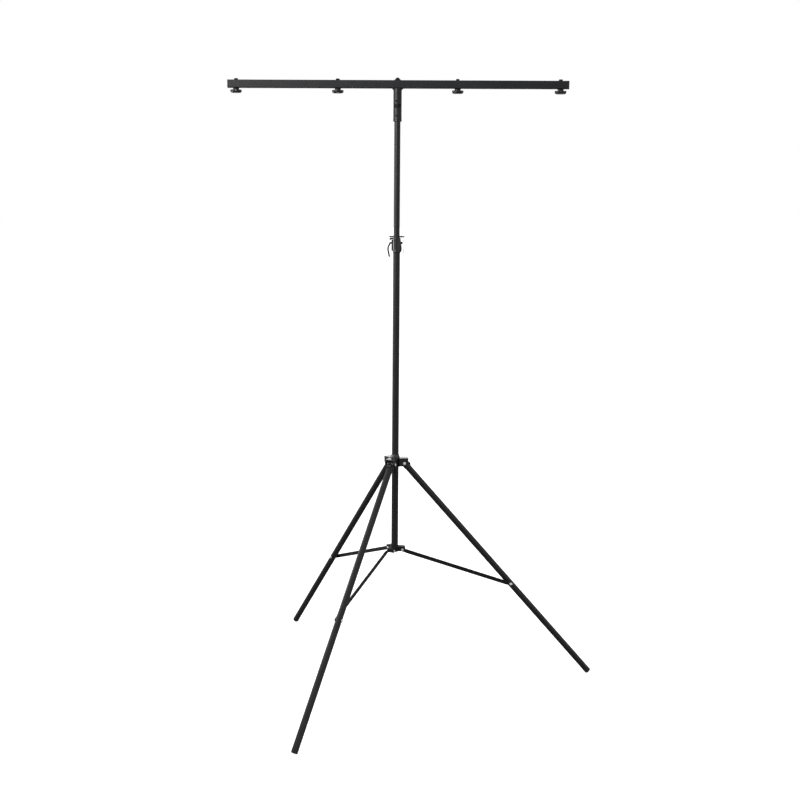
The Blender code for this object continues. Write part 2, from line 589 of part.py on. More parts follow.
# -------------------------------------------------------------------- T-head
groove = 0.5 * MM
socket = turned([
    (SOCKET_R, BAR_LOW - GAP), (SOCKET_R, 2.291), (SOCKET_R - groove, 2.2905), (SOCKET_R - groove, 2.2775),
    (SOCKET_R, 2.277), (SOCKET_R, SOCKET_LOW), (SOCKET_BORE, SOCKET_LOW), (SOCKET_BORE, BAR_LOW - GAP),
], ring=True)
lid = rod(14.0 * MM, 4.0 * MM, (0, 0, BAR_LOW - GAP - 2.0 * MM), "Z", SEGMENTS)
gusset = plate([[(-21.5 * MM, BAR_LOW - GAP), (21.5 * MM, BAR_LOW - GAP), (21.5 * MM, BAR_LOW - 1.2 * MM),
                 (14.9 * MM, 2.3415), (-14.9 * MM, 2.3415), (-21.5 * MM, BAR_LOW - 1.2 * MM)]], -11 * MM, 11 * MM)
gusset = cut(gusset, rod(13.4 * MM, 40 * MM, (0, 0, BAR_LOW), "Z", SEGMENTS))
socket = union(socket, lid, gusset)
SCREWS = ((2.302, 2.248), math.radians(-104))
socket_cutters = [rod(5.3 * MM, 20 * MM, (0, 0, BAR_LOW), "Z", 20)]
for z in SCREWS[0]:
    socket_cutters.append(turn_about(rod(3.3 * MM, 12 * MM, (16 * MM, 0, z), "X", 12), SCREWS[1]))
socket = part("t_socket", cut(socket, *socket_cutters), "coat", origin=(0, 0, SOCKET_LOW))

head = pivot("t_head_pivot", Matrix.Translation((0, 0, SOCKET_LOW)))
hang(socket, head)
for i, z in enumerate(SCREWS[0], 1):
    place = Matrix.Rotation(SCREWS[1], 4, "Z") @ Matrix.Translation((0, 0, z))
    screw = cut(rod(3.0 * MM, 2.0 * MM, (14.3 * MM, 0, 0), "X", 12), rod(1.6 * MM, 4.0 * MM, (16.4 * MM, 0, 0), "X", 6))
    hang(part(f"socket_screw_{i}", bake(screw), "blackened", place), head)

bush = turned([
    (13.0 * MM, 2.320), (13.0 * MM, SOCKET_LOW - GAP), (15.9 * MM, SOCKET_LOW - GAP), (16.5 * MM, SOCKET_LOW - 1.0 * MM),
    (16.5 * MM, 2.2275), (15.5 * MM, 2.2262), (11.95 * MM, 2.2262), (11.95 * MM, 2.320),
], ring=True)
hang(part("head_bush", bush, "plastic"), head)


def square(side, radius):
    h = side / 2
    return rounded([(-h, -h), (h, -h), (h, h), (-h, h)], radius, 3)


bar = plate([square(BAR_SIDE, BAR_CORNER), square(BAR_SIDE - 2 * BAR_WALL, BAR_CORNER - BAR_WALL)], -BAR_LENGTH / 2, BAR_LENGTH / 2, "YZ")
bar.location.z = BAR_Z
bar_cutters = [rod(4.4 * MM, 60 * MM, (x, 0, BAR_Z), "Z", 12) for x in LAMP_X]
bar_cutters.append(rod(5.3 * MM, 60 * MM, (0, 0, BAR_Z), "Z", 20))
hang(part("t_bar", cut(bar, *bar_cutters), "coat", origin=(0, 0, BAR_Z)), head)

for i, side in enumerate((-1, 1), 1):
    flange = plate([square(BAR_SIDE + 0.6 * MM, BAR_CORNER)], BAR_LENGTH / 2 + GAP, BAR_LENGTH / 2 + 2.5 * MM, "YZ")
    insert = plate([square(BAR_SIDE - 2 * BAR_WALL - 0.6 * MM, 1.0 * MM)], BAR_LENGTH / 2 - 12 * MM, BAR_LENGTH / 2 + 1.0 * MM, "YZ")
    cap = bake(union(flange, insert))
    place = Matrix.Translation((0, 0, BAR_Z)) @ (Matrix.Rotation(math.pi, 4, "Z") if side < 0 else Matrix())
    hang(part(f"bar_end_cap_{i}", cap, "plastic", place), head)

bolt = turned([
    (0, 2.3896), (2.8 * MM, 2.3893), (5.0 * MM, 2.3881), (7.2 * MM, 2.3858), (9.6 * MM, 2.3830), (12.0 * MM, 2.3810),
    (12.0 * MM, BAR_HIGH + GAP), (5.0 * MM, BAR_HIGH + GAP), (5.0 * MM, 2.3420), (0, 2.3420),
], 28)
hang(part("head_cap_bolt", bolt, "blackened"), head)

lamp_bolt = bake(union(
    rod(7.5 * MM, 5.3 * MM, (0, 0, BAR_HIGH + GAP + 2.65 * MM), "Z", 6),
    rod(BOLT_R, BAR_HIGH + GAP + 1 * MM - (KNOB_LOW + 3.2 * MM), (0, 0, (BAR_HIGH + GAP + 1 * MM + KNOB_LOW + 3.2 * MM) / 2), "Z", 12),
))
star = [
    (math.cos(a) * KNOB_R * (1 - 0.055 * (1 - math.cos(7 * a))), math.sin(a) * KNOB_R * (1 - 0.055 * (1 - math.cos(7 * a))))
    for a in (math.tau * k / 42 for k in range(42))
]
knob = union(
    plate([star], KNOB_LOW, KNOB_DISC_TOP, "XY"),
    rod(KNOB_NECK_R, KNOB_TOP - KNOB_DISC_TOP + 2 * MM, (0, 0, (KNOB_TOP + KNOB_DISC_TOP - 2 * MM) / 2), "Z", 24),
)
knob = bake(cut(knob, rod(BOLT_R + 0.3 * MM, 30 * MM, (0, 0, KNOB_LOW + 2.5 * MM + 15 * MM), "Z", 12)))
for i, x in enumerate(LAMP_X, 1):
    place = Matrix.Translation((x, 0, 0))
    hang(part(f"lamp_bolt_{i}", lamp_bolt, "blackened", place), head)
    hang(part(f"lamp_knob_{i}", knob, "plastic", place), head)
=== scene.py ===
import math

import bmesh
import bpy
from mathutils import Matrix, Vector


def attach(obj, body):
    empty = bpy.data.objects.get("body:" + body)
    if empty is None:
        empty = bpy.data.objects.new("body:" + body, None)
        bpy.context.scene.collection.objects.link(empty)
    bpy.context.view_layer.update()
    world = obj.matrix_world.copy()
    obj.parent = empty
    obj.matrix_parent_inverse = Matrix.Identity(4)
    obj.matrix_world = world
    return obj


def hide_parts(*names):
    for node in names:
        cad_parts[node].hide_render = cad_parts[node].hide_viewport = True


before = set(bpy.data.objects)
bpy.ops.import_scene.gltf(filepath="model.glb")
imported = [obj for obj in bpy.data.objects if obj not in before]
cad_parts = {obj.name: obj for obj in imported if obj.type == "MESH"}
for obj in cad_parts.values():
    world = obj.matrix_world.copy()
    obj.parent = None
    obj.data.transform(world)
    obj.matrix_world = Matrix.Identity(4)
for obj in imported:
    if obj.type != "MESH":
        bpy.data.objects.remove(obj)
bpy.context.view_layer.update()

# The looks of the light stand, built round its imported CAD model.
#
# Units are metres. +Z is up and +X runs along the T-bar. Turned pieces are lathes,
# sheet pieces are outlines with rounded edges, and the moulded hubs are fused
# and smoothed so that their corners have fillets.

MM = 0.001
TAU = math.tau

# the studio's brightness: the room, the sheet behind the stand, the part high up in front of it, and the floor's own glow
ROOM, SHEET, FRONT, FLOOR_GLOW = 0.55, 1.8, 0.55, 0.75

# ------------------------------------------------------------------ the camera
camera = bpy.data.objects.new("camera", bpy.data.cameras.new("camera"))
bpy.context.scene.collection.objects.link(camera)
bpy.context.scene.camera = camera
camera.data.sensor_width = 36.0
camera.data.lens = 56.71
camera.data.clip_start, camera.data.clip_end = 0.05, 200.0
camera.matrix_world = (
    Matrix.Translation((0.1891, -4.9076, 1.9758))
    @ Matrix.Rotation(math.radians(2.004), 4, "Z")
    @ Matrix.Rotation(math.radians(90 - 9.538), 4, "X")
    @ Matrix.Rotation(math.radians(0.405), 4, "Z")
)


# ------------------------------------------------------------------- materials
class Finish:
    """A small node material: one Principled shader with textures on its sockets."""

    def __init__(self, name, roughness, metallic=0.0, ior=1.5, coat=0.0):
        self.material = bpy.data.materials.new(name)
        self.material.use_nodes = True
        self.tree = self.material.node_tree
        self.shader = self.tree.nodes["Principled BSDF"]
        self.shader.inputs["Metallic"].default_value = metallic
        self.shader.inputs["Roughness"].default_value = roughness
        self.shader.inputs["IOR"].default_value = ior
        self.shader.inputs["Coat Weight"].default_value = coat
        self.shader.inputs["Coat Roughness"].default_value = 0.12
        self.place = self.tree.nodes.new("ShaderNodeTexCoord").outputs["Object"]
        self.bumped = None

    def mapped(self, scale):
        node = self.tree.nodes.new("ShaderNodeMapping")
        node.inputs["Scale"].default_value = scale
        self.tree.links.new(self.place, node.inputs["Vector"])
        return node.outputs["Vector"]

    def noise(self, scale, detail=2.0, rough=0.5, stretch=None, distortion=0.0):
        node = self.tree.nodes.new("ShaderNodeTexNoise")
        node.inputs["Scale"].default_value = scale
        node.inputs["Detail"].default_value = detail
        node.inputs["Roughness"].default_value = rough
        node.inputs["Distortion"].default_value = distortion
        self.tree.links.new(self.mapped(stretch) if stretch else self.place, node.inputs["Vector"])
        return node.outputs["Fac"]

    def cells(self, scale, feature="F1"):
        node = self.tree.nodes.new("ShaderNodeTexVoronoi")
        node.feature = feature
        node.inputs["Scale"].default_value = scale
        self.tree.links.new(self.place, node.inputs["Vector"])
        return node.outputs["Distance"]

    def ramp(self, value, *stops):
        """Stops are (position, grey or colour)."""
        node = self.tree.nodes.new("ShaderNodeValToRGB")
        ramp = node.color_ramp
        while len(ramp.elements) < len(stops):
            ramp.elements.new(0.5)
        for element, (position, colour) in zip(ramp.elements, stops):
            element.position = position
            element.color = (*colour, 1.0) if isinstance(colour, tuple) else (colour, colour, colour, 1.0)
        self.tree.links.new(value, node.inputs["Fac"])
        return node.outputs["Color"]

    def mix(self, factor, a, b):
        """a where the factor is 0, b where it is 1. Each is a socket or a colour."""
        node = self.tree.nodes.new("ShaderNodeMix")
        node.data_type = "RGBA"
        self.tree.links.new(factor, node.inputs["Factor"])
        for socket, value in ((node.inputs[6], a), (node.inputs[7], b)):
            if isinstance(value, tuple):
                socket.default_value = (*value, 1.0)
            else:
                self.tree.links.new(value, socket)
        return node.outputs[2]

    def maths(self, operation, a, b):
        node = self.tree.nodes.new("ShaderNodeMath")
        node.operation = operation
        for socket, value in ((node.inputs[0], a), (node.inputs[1], b)):
            if isinstance(value, (int, float)):
                socket.default_value = value
            else:
                self.tree.links.new(value, socket)
        return node.outputs["Value"]

    def facing_up(self):
        """How far the surface faces up, from the mesh's own normal."""
        geometry = self.tree.nodes.new("ShaderNodeNewGeometry")
        split = self.tree.nodes.new("ShaderNodeSeparateXYZ")
        self.tree.links.new(geometry.outputs["Normal"], split.inputs["Vector"])
        return split.outputs["Z"]

    def height(self):
        """The height above the floor at rest."""
        split = self.tree.nodes.new("ShaderNodeSeparateXYZ")
        self.tree.links.new(self.place, split.inputs["Vector"])
        return split.outputs["Z"]

    def colour(self, socket):
        self.tree.links.new(socket, self.shader.inputs["Base Color"])
        return self

    def roughness(self, socket):
        self.tree.links.new(socket, self.shader.inputs["Roughness"])
        return self

    def bump(self, socket, distance, strength=1.0):
        node = self.tree.nodes.new("ShaderNodeBump")
        node.inputs["Strength"].default_value = strength
        node.inputs["Distance"].default_value = distance
        self.tree.links.new(socket, node.inputs["Height"])
        if self.bumped is not None:
            self.tree.links.new(self.bumped, node.inputs["Normal"])
        self.tree.links.new(node.outputs["Normal"], self.shader.inputs["Normal"])
        self.bumped = node.outputs["Normal"]
        return self


def powder_coat(name, base, streaks=False, ior=1.37, rough=(0.36, 0.47)):
    """Satin powder coat: a fine orange peel, a faint cloudiness, and specks of dust on top."""
    f = Finish(name, 0.36, ior=ior)
    cloud = f.noise(9.0, 3.0, 0.6)
    tone = f.ramp(cloud, (0.30, tuple(c * 0.82 for c in base)), (0.72, tuple(c * 1.22 for c in base)))
    speck = f.ramp(f.noise(1400.0, 1.0), (0.66, 0.0), (0.74, 0.25))
    tone = f.mix(speck, tone, tuple(min(1.0, c * 1.9) for c in base))
    dust = f.maths("MULTIPLY", f.ramp(f.facing_up(), (0.55, 0.0), (0.98, 0.30)), f.ramp(f.noise(55.0, 4.0, 0.65), (0.40, 0.1), (0.72, 1.0)))
    tone = f.mix(dust, tone, (0.040, 0.039, 0.037))
    matt = f.ramp(f.noise(38.0, 4.0, 0.6), (0.28, rough[0]), (0.75, rough[1]))
    if streaks:
        rub = f.ramp(f.noise(1.0, 5.0, 0.7, stretch=(420.0, 420.0, 7.0)), (0.60, 0.0), (0.70, 0.55))
        tone = f.mix(rub, tone, tuple(c * 1.8 for c in base))
        matt = f.mix(rub, matt, (0.31, 0.31, 0.31))
    f.colour(tone).roughness(matt)
    f.bump(f.noise(620.0, 2.0, 0.5), 0.00006, 0.22)
    f.bump(f.noise(2600.0, 1.0, 0.5), 0.00002, 0.20)
    return f.material


def moulded(name, base, rough=(0.34, 0.46), grain=0.5, ior=1.46):
    """Moulded plastic: a fine spark-eroded grain and slightly shiny worn patches."""
    f = Finish(name, 0.4, ior=ior)
    tone = f.ramp(f.noise(24.0, 3.0, 0.6), (0.3, tuple(c * 0.85 for c in base)), (0.75, tuple(c * 1.2 for c in base)))
    dust = f.maths("MULTIPLY", f.ramp(f.facing_up(), (0.6, 0.0), (1.0, 0.25)), f.ramp(f.noise(90.0, 4.0, 0.6), (0.42, 0.0), (0.7, 1.0)))
    f.colour(f.mix(dust, tone, (0.055, 0.054, 0.050)))
    f.roughness(f.ramp(f.noise(60.0, 4.0, 0.6), (0.3, rough[0]), (0.72, rough[1])))
    f.bump(f.cells(2300.0), 0.00004, grain)
    f.bump(f.noise(160.0, 2.0), 0.00012, 0.25)
    return f.material


def metal(name, base, rough, grain_scale=(900.0, 900.0, 900.0), bump=0.35, metallic=1.0, patch=0.8, ior=1.45):
    """Plated or plain steel: fine directionless scratches and cloudy plating."""
    f = Finish(name, 0.3, ior=ior, metallic=metallic)
    tone = f.ramp(f.noise(260.0, 3.0, 0.6), (0.28, tuple(c * patch for c in base)), (0.72, base))
    f.colour(tone)
    f.roughness(f.ramp(f.noise(420.0, 4.0, 0.65, distortion=0.4), (0.3, rough[0]), (0.75, rough[1])))
    f.bump(f.noise(1.0, 3.0, 0.6, stretch=grain_scale), 0.00003, bump)
    return f.material


def rubber(name):
    """Rubber feet: dull, finely pitted, and dusty near the floor."""
    f = Finish(name, 0.7, ior=1.45)
    tone = f.ramp(f.noise(140.0, 4.0, 0.65), (0.3, (0.0075, 0.0075, 0.0078)), (0.75, (0.014, 0.014, 0.0145)))
    low = f.ramp(f.height(), (0.0, 1.0), (0.022, 0.0))
    dirt = f.maths("MULTIPLY", low, f.ramp(f.noise(240.0, 5.0, 0.7), (0.45, 0.0), (0.75, 0.35)))
    f.colour(f.mix(dirt, tone, (0.075, 0.070, 0.062)))
    f.roughness(f.ramp(f.noise(300.0, 3.0, 0.6), (0.3, 0.55), (0.75, 0.78)))
    f.bump(f.noise(900.0, 3.0, 0.6), 0.00012, 0.5)
    return f.material


COAT = powder_coat("black_powder_coat", (0.0105, 0.0108, 0.0122))
TUBE = powder_coat("rubbed_powder_coat", (0.0105, 0.0107, 0.0118), streaks=True)
PLASTIC = moulded("black_plastic", (0.0085, 0.0085, 0.0088))
GLOSSY = moulded("glossy_plastic", (0.0075, 0.0075, 0.0078), rough=(0.16, 0.26), grain=0.18, ior=1.55)
KNOB = moulded("knob_plastic", (0.0085, 0.0085, 0.0089), rough=(0.20, 0.32), grain=0.25, ior=1.5)
DULL = moulded("dull_black", (0.0040, 0.0040, 0.0042), rough=(0.62, 0.78), grain=0.4, ior=1.3)
RUBBER = rubber("black_rubber")
ZINC = metal("bright_zinc", (0.96, 0.965, 0.97), (0.30, 0.48), patch=0.90)
STEEL = metal("grey_steel", (0.17, 0.17, 0.175), (0.26, 0.44))
WIRE = metal("steel_wire", (0.34, 0.34, 0.35), (0.24, 0.40))
BLACKENED = metal("blackened_steel", (0.011, 0.011, 0.012), (0.46, 0.60), metallic=0.0, patch=0.6, ior=1.22)
STRAP = powder_coat("strap_powder_coat", (0.0085, 0.0087, 0.0095), ior=1.30, rough=(0.46, 0.58))
HUB = moulded("hub_plastic", (0.0060, 0.0060, 0.0063), rough=(0.44, 0.58), grain=0.4, ior=1.34)


# --------------------------------------------------------------- shape makers
def fillet(points, radii, steps=4, closed=True):
    """A polyline with arcs for corners. radii is one radius or one for each point."""
    out, n = [], len(points)
    for i, corner in enumerate(points):
        r = radii[i] if isinstance(radii, (list, tuple)) else radii
        p = Vector(corner[:2])
        if r <= 0 or (not closed and i in (0, n - 1)):
            out.append((p.x, p.y))
            continue
        a, b = Vector(points[i - 1][:2]) - p, Vector(points[(i + 1) % n][:2]) - p
        half = a.angle(b, math.pi) / 2
        if half > math.pi / 2 - 0.02 or min(a.length, b.length) < 1e-7:
            out.append((p.x, p.y))
            continue
        reach = min(r / math.tan(half), a.length * 0.49, b.length * 0.49)
        start, end, weight = p + a.normalized() * reach, p + b.normalized() * reach, math.sin(half)
        for k in range(steps + 1):
            t = k / steps
            whole = (1 - t) ** 2 + 2 * weight * t * (1 - t) + t ** 2
            q = (start * (1 - t) ** 2 + p * (2 * weight * t * (1 - t)) + end * t ** 2) / whole
            out.append((q.x, q.y))
    return out


def finished(bm, name):
    bmesh.ops.recalc_face_normals(bm, faces=bm.faces)
    mesh = bpy.data.meshes.new(name)
    bm.to_mesh(mesh)
    bm.free()
    return mesh


def lathe(profile, segments=64, closed=False, shape=None, axis="Z", name="lathe"):
    """Turns (radius, height) points round an axis. shape(angle, r, z) may change a point's radius."""
    bm = bmesh.new()
    rings = []
    for r, z in profile:
        if r < 1e-7:
            rings.append([bm.verts.new((0.0, 0.0, z))])
            continue
        ring = []
        for k in range(segments):
            a = TAU * k / segments
            q = shape(a, r, z) if shape else r
            ring.append(bm.verts.new((q * math.cos(a), q * math.sin(a), z)))
        rings.append(ring)
    pairs = list(zip(rings, rings[1:])) + ([(rings[-1], rings[0])] if closed else [])
    for a, b in pairs:
        for k in range(segments):
            j = (k + 1) % segments
            if len(a) == 1 and len(b) == 1:
                break
            if len(a) == 1:
                bm.faces.new((a[0], b[k], b[j]))
            elif len(b) == 1:
                bm.faces.new((a[k], b[0], a[j]))
            else:
                bm.faces.new((a[k], b[k], b[j], a[j]))
    if axis == "X":      # the profile's height runs along X
        bmesh.ops.rotate(bm, verts=bm.verts, matrix=Matrix.Rotation(math.pi / 2, 3, "Y"))
    if axis == "Y":      # the profile's height runs along Y
        bmesh.ops.rotate(bm, verts=bm.verts, matrix=Matrix.Rotation(-math.pi / 2, 3, "X"))
    return finished(bm, name)


def pipe(radius, bore, low, high, edge=0.35 * MM, segments=72):
    return lathe(fillet([(radius, high), (radius, low), (bore, low), (bore, high)], edge, 3), segments, closed=True)


def peg(radius, low, high, edge=0.3 * MM, segments=32, axis="Z"):
    """A solid round bar with eased ends."""
    return lathe(fillet([(0, high), (radius, high), (radius, low), (0, low)], edge, 3, closed=False), segments, axis=axis)


def slab(outlines, low, high, edge=0.4 * MM, plane="XY", steps=3):
    """Outlines with a thickness and rounded edges. plane XZ runs the thickness along Y, and YZ along X."""
    curve = bpy.data.curves.new("outline", "CURVE")
    curve.dimensions = "2D"
    curve.fill_mode = "BOTH"
    curve.extrude = max((high - low) / 2 - edge, 1e-6)
    curve.bevel_depth = edge
    curve.bevel_resolution = steps - 1
    curve.offset = -edge
    for outline in outlines:
        spline = curve.splines.new("POLY")
        spline.points.add(len(outline) - 1)
        for point, (u, v) in zip(spline.points, outline):
            point.co = (u, v, 0.0, 1.0)
        spline.use_cyclic_u = True
    drawn = bpy.data.objects.new("outline", curve)
    bpy.context.scene.collection.objects.link(drawn)
    mesh = bpy.data.meshes.new_from_object(drawn.evaluated_get(bpy.context.evaluated_depsgraph_get()))
    bpy.data.objects.remove(drawn)
    bm = bmesh.new()
    bm.from_mesh(mesh)
    bmesh.ops.remove_doubles(bm, verts=bm.verts, dist=0.000002)
    bmesh.ops.translate(bm, verts=bm.verts, vec=(0, 0, (low + high) / 2))
    if plane == "XZ":
        bmesh.ops.transform(bm, verts=bm.verts, matrix=Matrix(((1, 0, 0, 0), (0, 0, 1, 0), (0, 1, 0, 0), (0, 0, 0, 1))))
    if plane == "YZ":
        bmesh.ops.transform(bm, verts=bm.verts, matrix=Matrix(((0, 0, 1, 0), (1, 0, 0, 0), (0, 1, 0, 0), (0, 0, 0, 1))))
    return finished(bm, "slab")


def box(low, high):
    """A plain box, for cutting and fusing only."""
    bm = bmesh.new()
    bmesh.ops.create_cube(bm, size=1.0)
    low, high = Vector(low), Vector(high)
    bmesh.ops.scale(bm, verts=bm.verts, vec=high - low)
    bmesh.ops.translate(bm, verts=bm.verts, vec=(low + high) / 2)
    return finished(bm, "box")


def moved(mesh, matrix):
    mesh = mesh.copy()
    mesh.transform(matrix)
    return mesh


def at(x=0.0, y=0.0, z=0.0):
    return Matrix.Translation((x, y, z))


def turned(angle, axis="Z"):
    return Matrix.Rotation(angle, 4, axis)


def hold(mesh, name="held"):
    obj = bpy.data.objects.new(name, mesh)
    bpy.context.scene.collection.objects.link(obj)
    return obj


def settle(obj):
    """The object's mesh with its modifiers applied; the object goes."""
    bpy.context.view_layer.update()
    mesh = bpy.data.meshes.new_from_object(obj.evaluated_get(bpy.context.evaluated_depsgraph_get()))
    bpy.data.objects.remove(obj)
    return mesh


def solid(base, add=(), cut=(), voxel=0.0, rounds=6, clean=0.0):
    """Meshes joined and cut. With a voxel size the result is one skin, smoothed so that corners round."""
    obj = hold(base)
    others = [(hold(m), "UNION") for m in add] + [(hold(m), "DIFFERENCE") for m in cut]
    for other, operation in others:
        boolean = obj.modifiers.new(operation, "BOOLEAN")
        boolean.operation = operation
        boolean.object = other
        boolean.solver = "EXACT"
    if voxel:
        remesh = obj.modifiers.new("skin", "REMESH")
        remesh.mode = "VOXEL"
        remesh.voxel_size = voxel
        ease = obj.modifiers.new("ease", "SMOOTH")
        ease.factor = 0.5
        ease.iterations = rounds
    mesh = settle(obj)
    for other, _ in others:
        bpy.data.objects.remove(other)
    if clean:
        bm = bmesh.new()
        bm.from_mesh(mesh)
        bmesh.ops.remove_doubles(bm, verts=bm.verts, dist=clean)
        mesh = finished(bm, "solid")
    return mesh


def joined(*meshes):
    """Several closed shells in one mesh."""
    bm = bmesh.new()
    for mesh in meshes:
        bm.from_mesh(mesh)
    return finished(bm, "joined")


def sweep(path, radius, sides=16, shape=None, closed=False, name="sweep"):
    """A round section along a path. shape(step, angle) scales the radius."""
    path = [Vector(p) for p in path]
    bm = bmesh.new()
    n = len(path)
    normal = None
    rings = []
    for i, p in enumerate(path):
        before = path[i - 1] if (i or closed) else p
        after = path[(i + 1) % n] if (i < n - 1 or closed) else p
        along = (after - before).normalized()
        if normal is None:
            normal = along.orthogonal().normalized()
        normal = (normal - along * normal.dot(along)).normalized()
        across = along.cross(normal)
        ring = []
        for k in range(sides):
            a = TAU * k / sides
            r = radius * (shape(i, a) if shape else 1.0)
            ring.append(bm.verts.new(p + (normal * math.cos(a) + across * math.sin(a)) * r))
        rings.append(ring)
    for i in range(n if closed else n - 1):
        a, b = rings[i], rings[(i + 1) % n]
        for k in range(sides):
            j = (k + 1) % sides
            bm.faces.new((a[k], a[j], b[j], b[k]))
    if not closed:
        bm.faces.new(rings[0][::-1])
        bm.faces.new(rings[-1])
    return finished(bm, name)


def piece(name, mesh, body, finish, replaces=(), matrix=None, angle=38.0, flat=True):
    """A shown piece: it rides on a body and stands for its CAD nodes."""
    mesh = mesh.copy()
    if matrix is not None:
        mesh.transform(matrix)
    mesh.name = name
    mesh.materials.clear()
    mesh.materials.append(finish)
    mesh.shade_smooth()
    mesh.set_sharp_from_angle(angle=math.radians(angle))
    obj = bpy.data.objects.new(name, mesh)
    bpy.context.scene.collection.objects.link(obj)
    if flat:
        weighted = obj.modifiers.new("flat faces", "WEIGHTED_NORMAL")
        weighted.keep_sharp = True
    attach(obj, body)
    if replaces:
        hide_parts(*([replaces] if isinstance(replaces, str) else replaces))
    return obj


def smooth(route, count):
    """Points along a smooth curve through a route's own points."""
    out, n = [], len(route)
    for k in range(count + 1):
        u = k / count * (n - 1)
        i = min(int(u), n - 2)
        t = u - i
        p = [Vector(route[min(max(j, 0), n - 1)]) for j in (i - 1, i, i + 1, i + 2)]
        out.append(0.5 * (2 * p[1] + (p[2] - p[0]) * t + (2 * p[0] - 5 * p[1] + 4 * p[2] - p[3]) * t ** 2
                          + (3 * p[1] - p[0] - 3 * p[2] + p[3]) * t ** 3))
    return out


# ------------------------------------------------------- the lanyard, a free cord
PIN_Z = 1.7915
RING_Z = PIN_Z - 6.0 * MM
LANYARD_TOP = RING_Z - 5.5 * MM - 0.75 * MM - 0.3 * MM
LANYARD_ROUTE = [(28.0, 0.0), (28.2, -8.0), (28.9, -18.0), (28.6, -29.0), (26.6, -39.0), (25.7, -50.0)]
route = [Vector((q.x, 0.0, LANYARD_TOP + q.y)) for q in smooth([(x * MM, z * MM) for x, z in LANYARD_ROUTE], 14)]

fine_route = [Vector((q.x, 0.0, LANYARD_TOP + q.y)) for q in smooth([(x * MM, z * MM) for x, z in LANYARD_ROUTE], 110)]


def strands(step, angle):
    """Six strands that twist round each other."""
    twist = angle * 6 + step * 0.55
    return 1.0 - 0.16 * (0.5 - 0.5 * math.cos(twist)) ** 1.5


lanyard = piece("lanyard_wire", sweep(fine_route, 1.0 * MM, 30, strands), "safety_pin", WIRE, "lanyard", flat=False, angle=60)


def coil(radius, wire, turns, rise, steps=40, phase=0.0):
    """A wire ring of more than one turn, its axis along X."""
    points = []
    for k in range(int(turns * steps) + 1):
        a = phase + TAU * k / steps
        points.append((rise * (k / (turns * steps) - 0.5), radius * math.sin(a), radius * math.cos(a)))
    return sweep(points, wire, 12)


end_ring_z = route[-1].z - 0.3 * MM - 4.8 * MM
end_ring = piece(
    "lanyard_end_ring", coil(4.0 * MM, 0.5 * MM, 1.9, 1.1 * MM), "safety_pin", STEEL, "lanyard_ring",
    matrix=at(route[-1].x, 0, end_ring_z) @ turned(math.pi / 2), flat=False, angle=60,
)
ferrule = lathe(fillet([(0, 5.0 * MM), (1.35 * MM, 5.0 * MM), (1.45 * MM, 2.5 * MM), (1.35 * MM, 0), (0, 0)], 0.25 * MM, 3, closed=False), 24)


def along(a, b):
    """A frame at a, its Z towards b."""
    return at(*a) @ (Vector(b) - Vector(a)).to_track_quat("Z", "Y").to_matrix().to_4x4()


top_ferrule = piece("lanyard_top_ferrule", ferrule, "safety_pin", STEEL, matrix=along(fine_route[1], fine_route[12]))
low_ferrule = piece("lanyard_low_ferrule", ferrule, "safety_pin", STEEL, matrix=along(fine_route[-2], fine_route[-13]))

# --------------------------------------------------------------------- sizes
LOWER_R, LOWER_BORE, LOWER_BOTTOM, LOWER_TOP = 13.5 * MM, 12.1 * MM, 0.537, 1.765
UPPER_R, UPPER_BORE, UPPER_BOTTOM, UPPER_TOP = 11.75 * MM, 10.35 * MM, 1.150, 2.338
AZIMUTHS = [math.radians(a) for a in (6.5, 126.5, 246.5)]
HUB_PIVOT_R, HUB_PIVOT_Z = 35.6 * MM, 0.897
LEG_ANGLE, LEG_LENGTH, LEG_R = math.radians(40.9), 1.1790, 12.5 * MM
BRACE_PIVOT_R, BRACE_PIVOT_Z, BRACE_POINT = 30.5 * MM, 0.542, 0.670
BAR_LOW, BAR_HIGH, BAR_Z = 2.349, 2.379, 2.364
LAMP_X = (-0.616, -0.2275, 0.2275, 0.616)

# ---------------------------------------------------------------------- mast
piece("lower_tube", pipe(LOWER_R, LOWER_BORE, LOWER_BOTTOM, LOWER_TOP), "lower_mast", TUBE, "lower_mast_tube")

upper = solid(pipe(UPPER_R, UPPER_BORE, UPPER_BOTTOM, UPPER_TOP), cut=[moved(peg(3.3 * MM, -30 * MM, 30 * MM, axis="X"), at(z=PIN_Z))])
piece("upper_tube", upper, "upper_mast", TUBE, "upper_mast_tube")

piece("bottom_plug", lathe(fillet([
    (0, LOWER_BOTTOM + 20 * MM), (11.7 * MM, LOWER_BOTTOM + 20 * MM), (11.7 * MM, LOWER_BOTTOM - 0.3 * MM),
    (13.3 * MM, LOWER_BOTTOM - 0.3 * MM), (13.3 * MM, 0.5338), (12.4 * MM, 0.5330), (7.4 * MM, 0.5330), (6.8 * MM, 0.5342), (0, 0.5344),
], [0, 0.8 * MM, 0, 0.3 * MM, 0.8 * MM, 0.6 * MM, 0.3 * MM, 0.3 * MM, 0], 3, closed=False)), "lower_mast", PLASTIC, "mast_bottom_plug")

piece("upper_plug", lathe(fillet([
    (0, UPPER_BOTTOM + 15 * MM), (10.0 * MM, UPPER_BOTTOM + 15 * MM), (10.0 * MM, UPPER_BOTTOM - 0.3 * MM),
    (11.6 * MM, UPPER_BOTTOM - 0.3 * MM), (11.6 * MM, UPPER_BOTTOM - 4 * MM), (0, UPPER_BOTTOM - 4 * MM),
], [0, 0.6 * MM, 0, 0.3 * MM, 0.8 * MM, 0], 3, closed=False)), "upper_mast", PLASTIC, "upper_tube_plug")


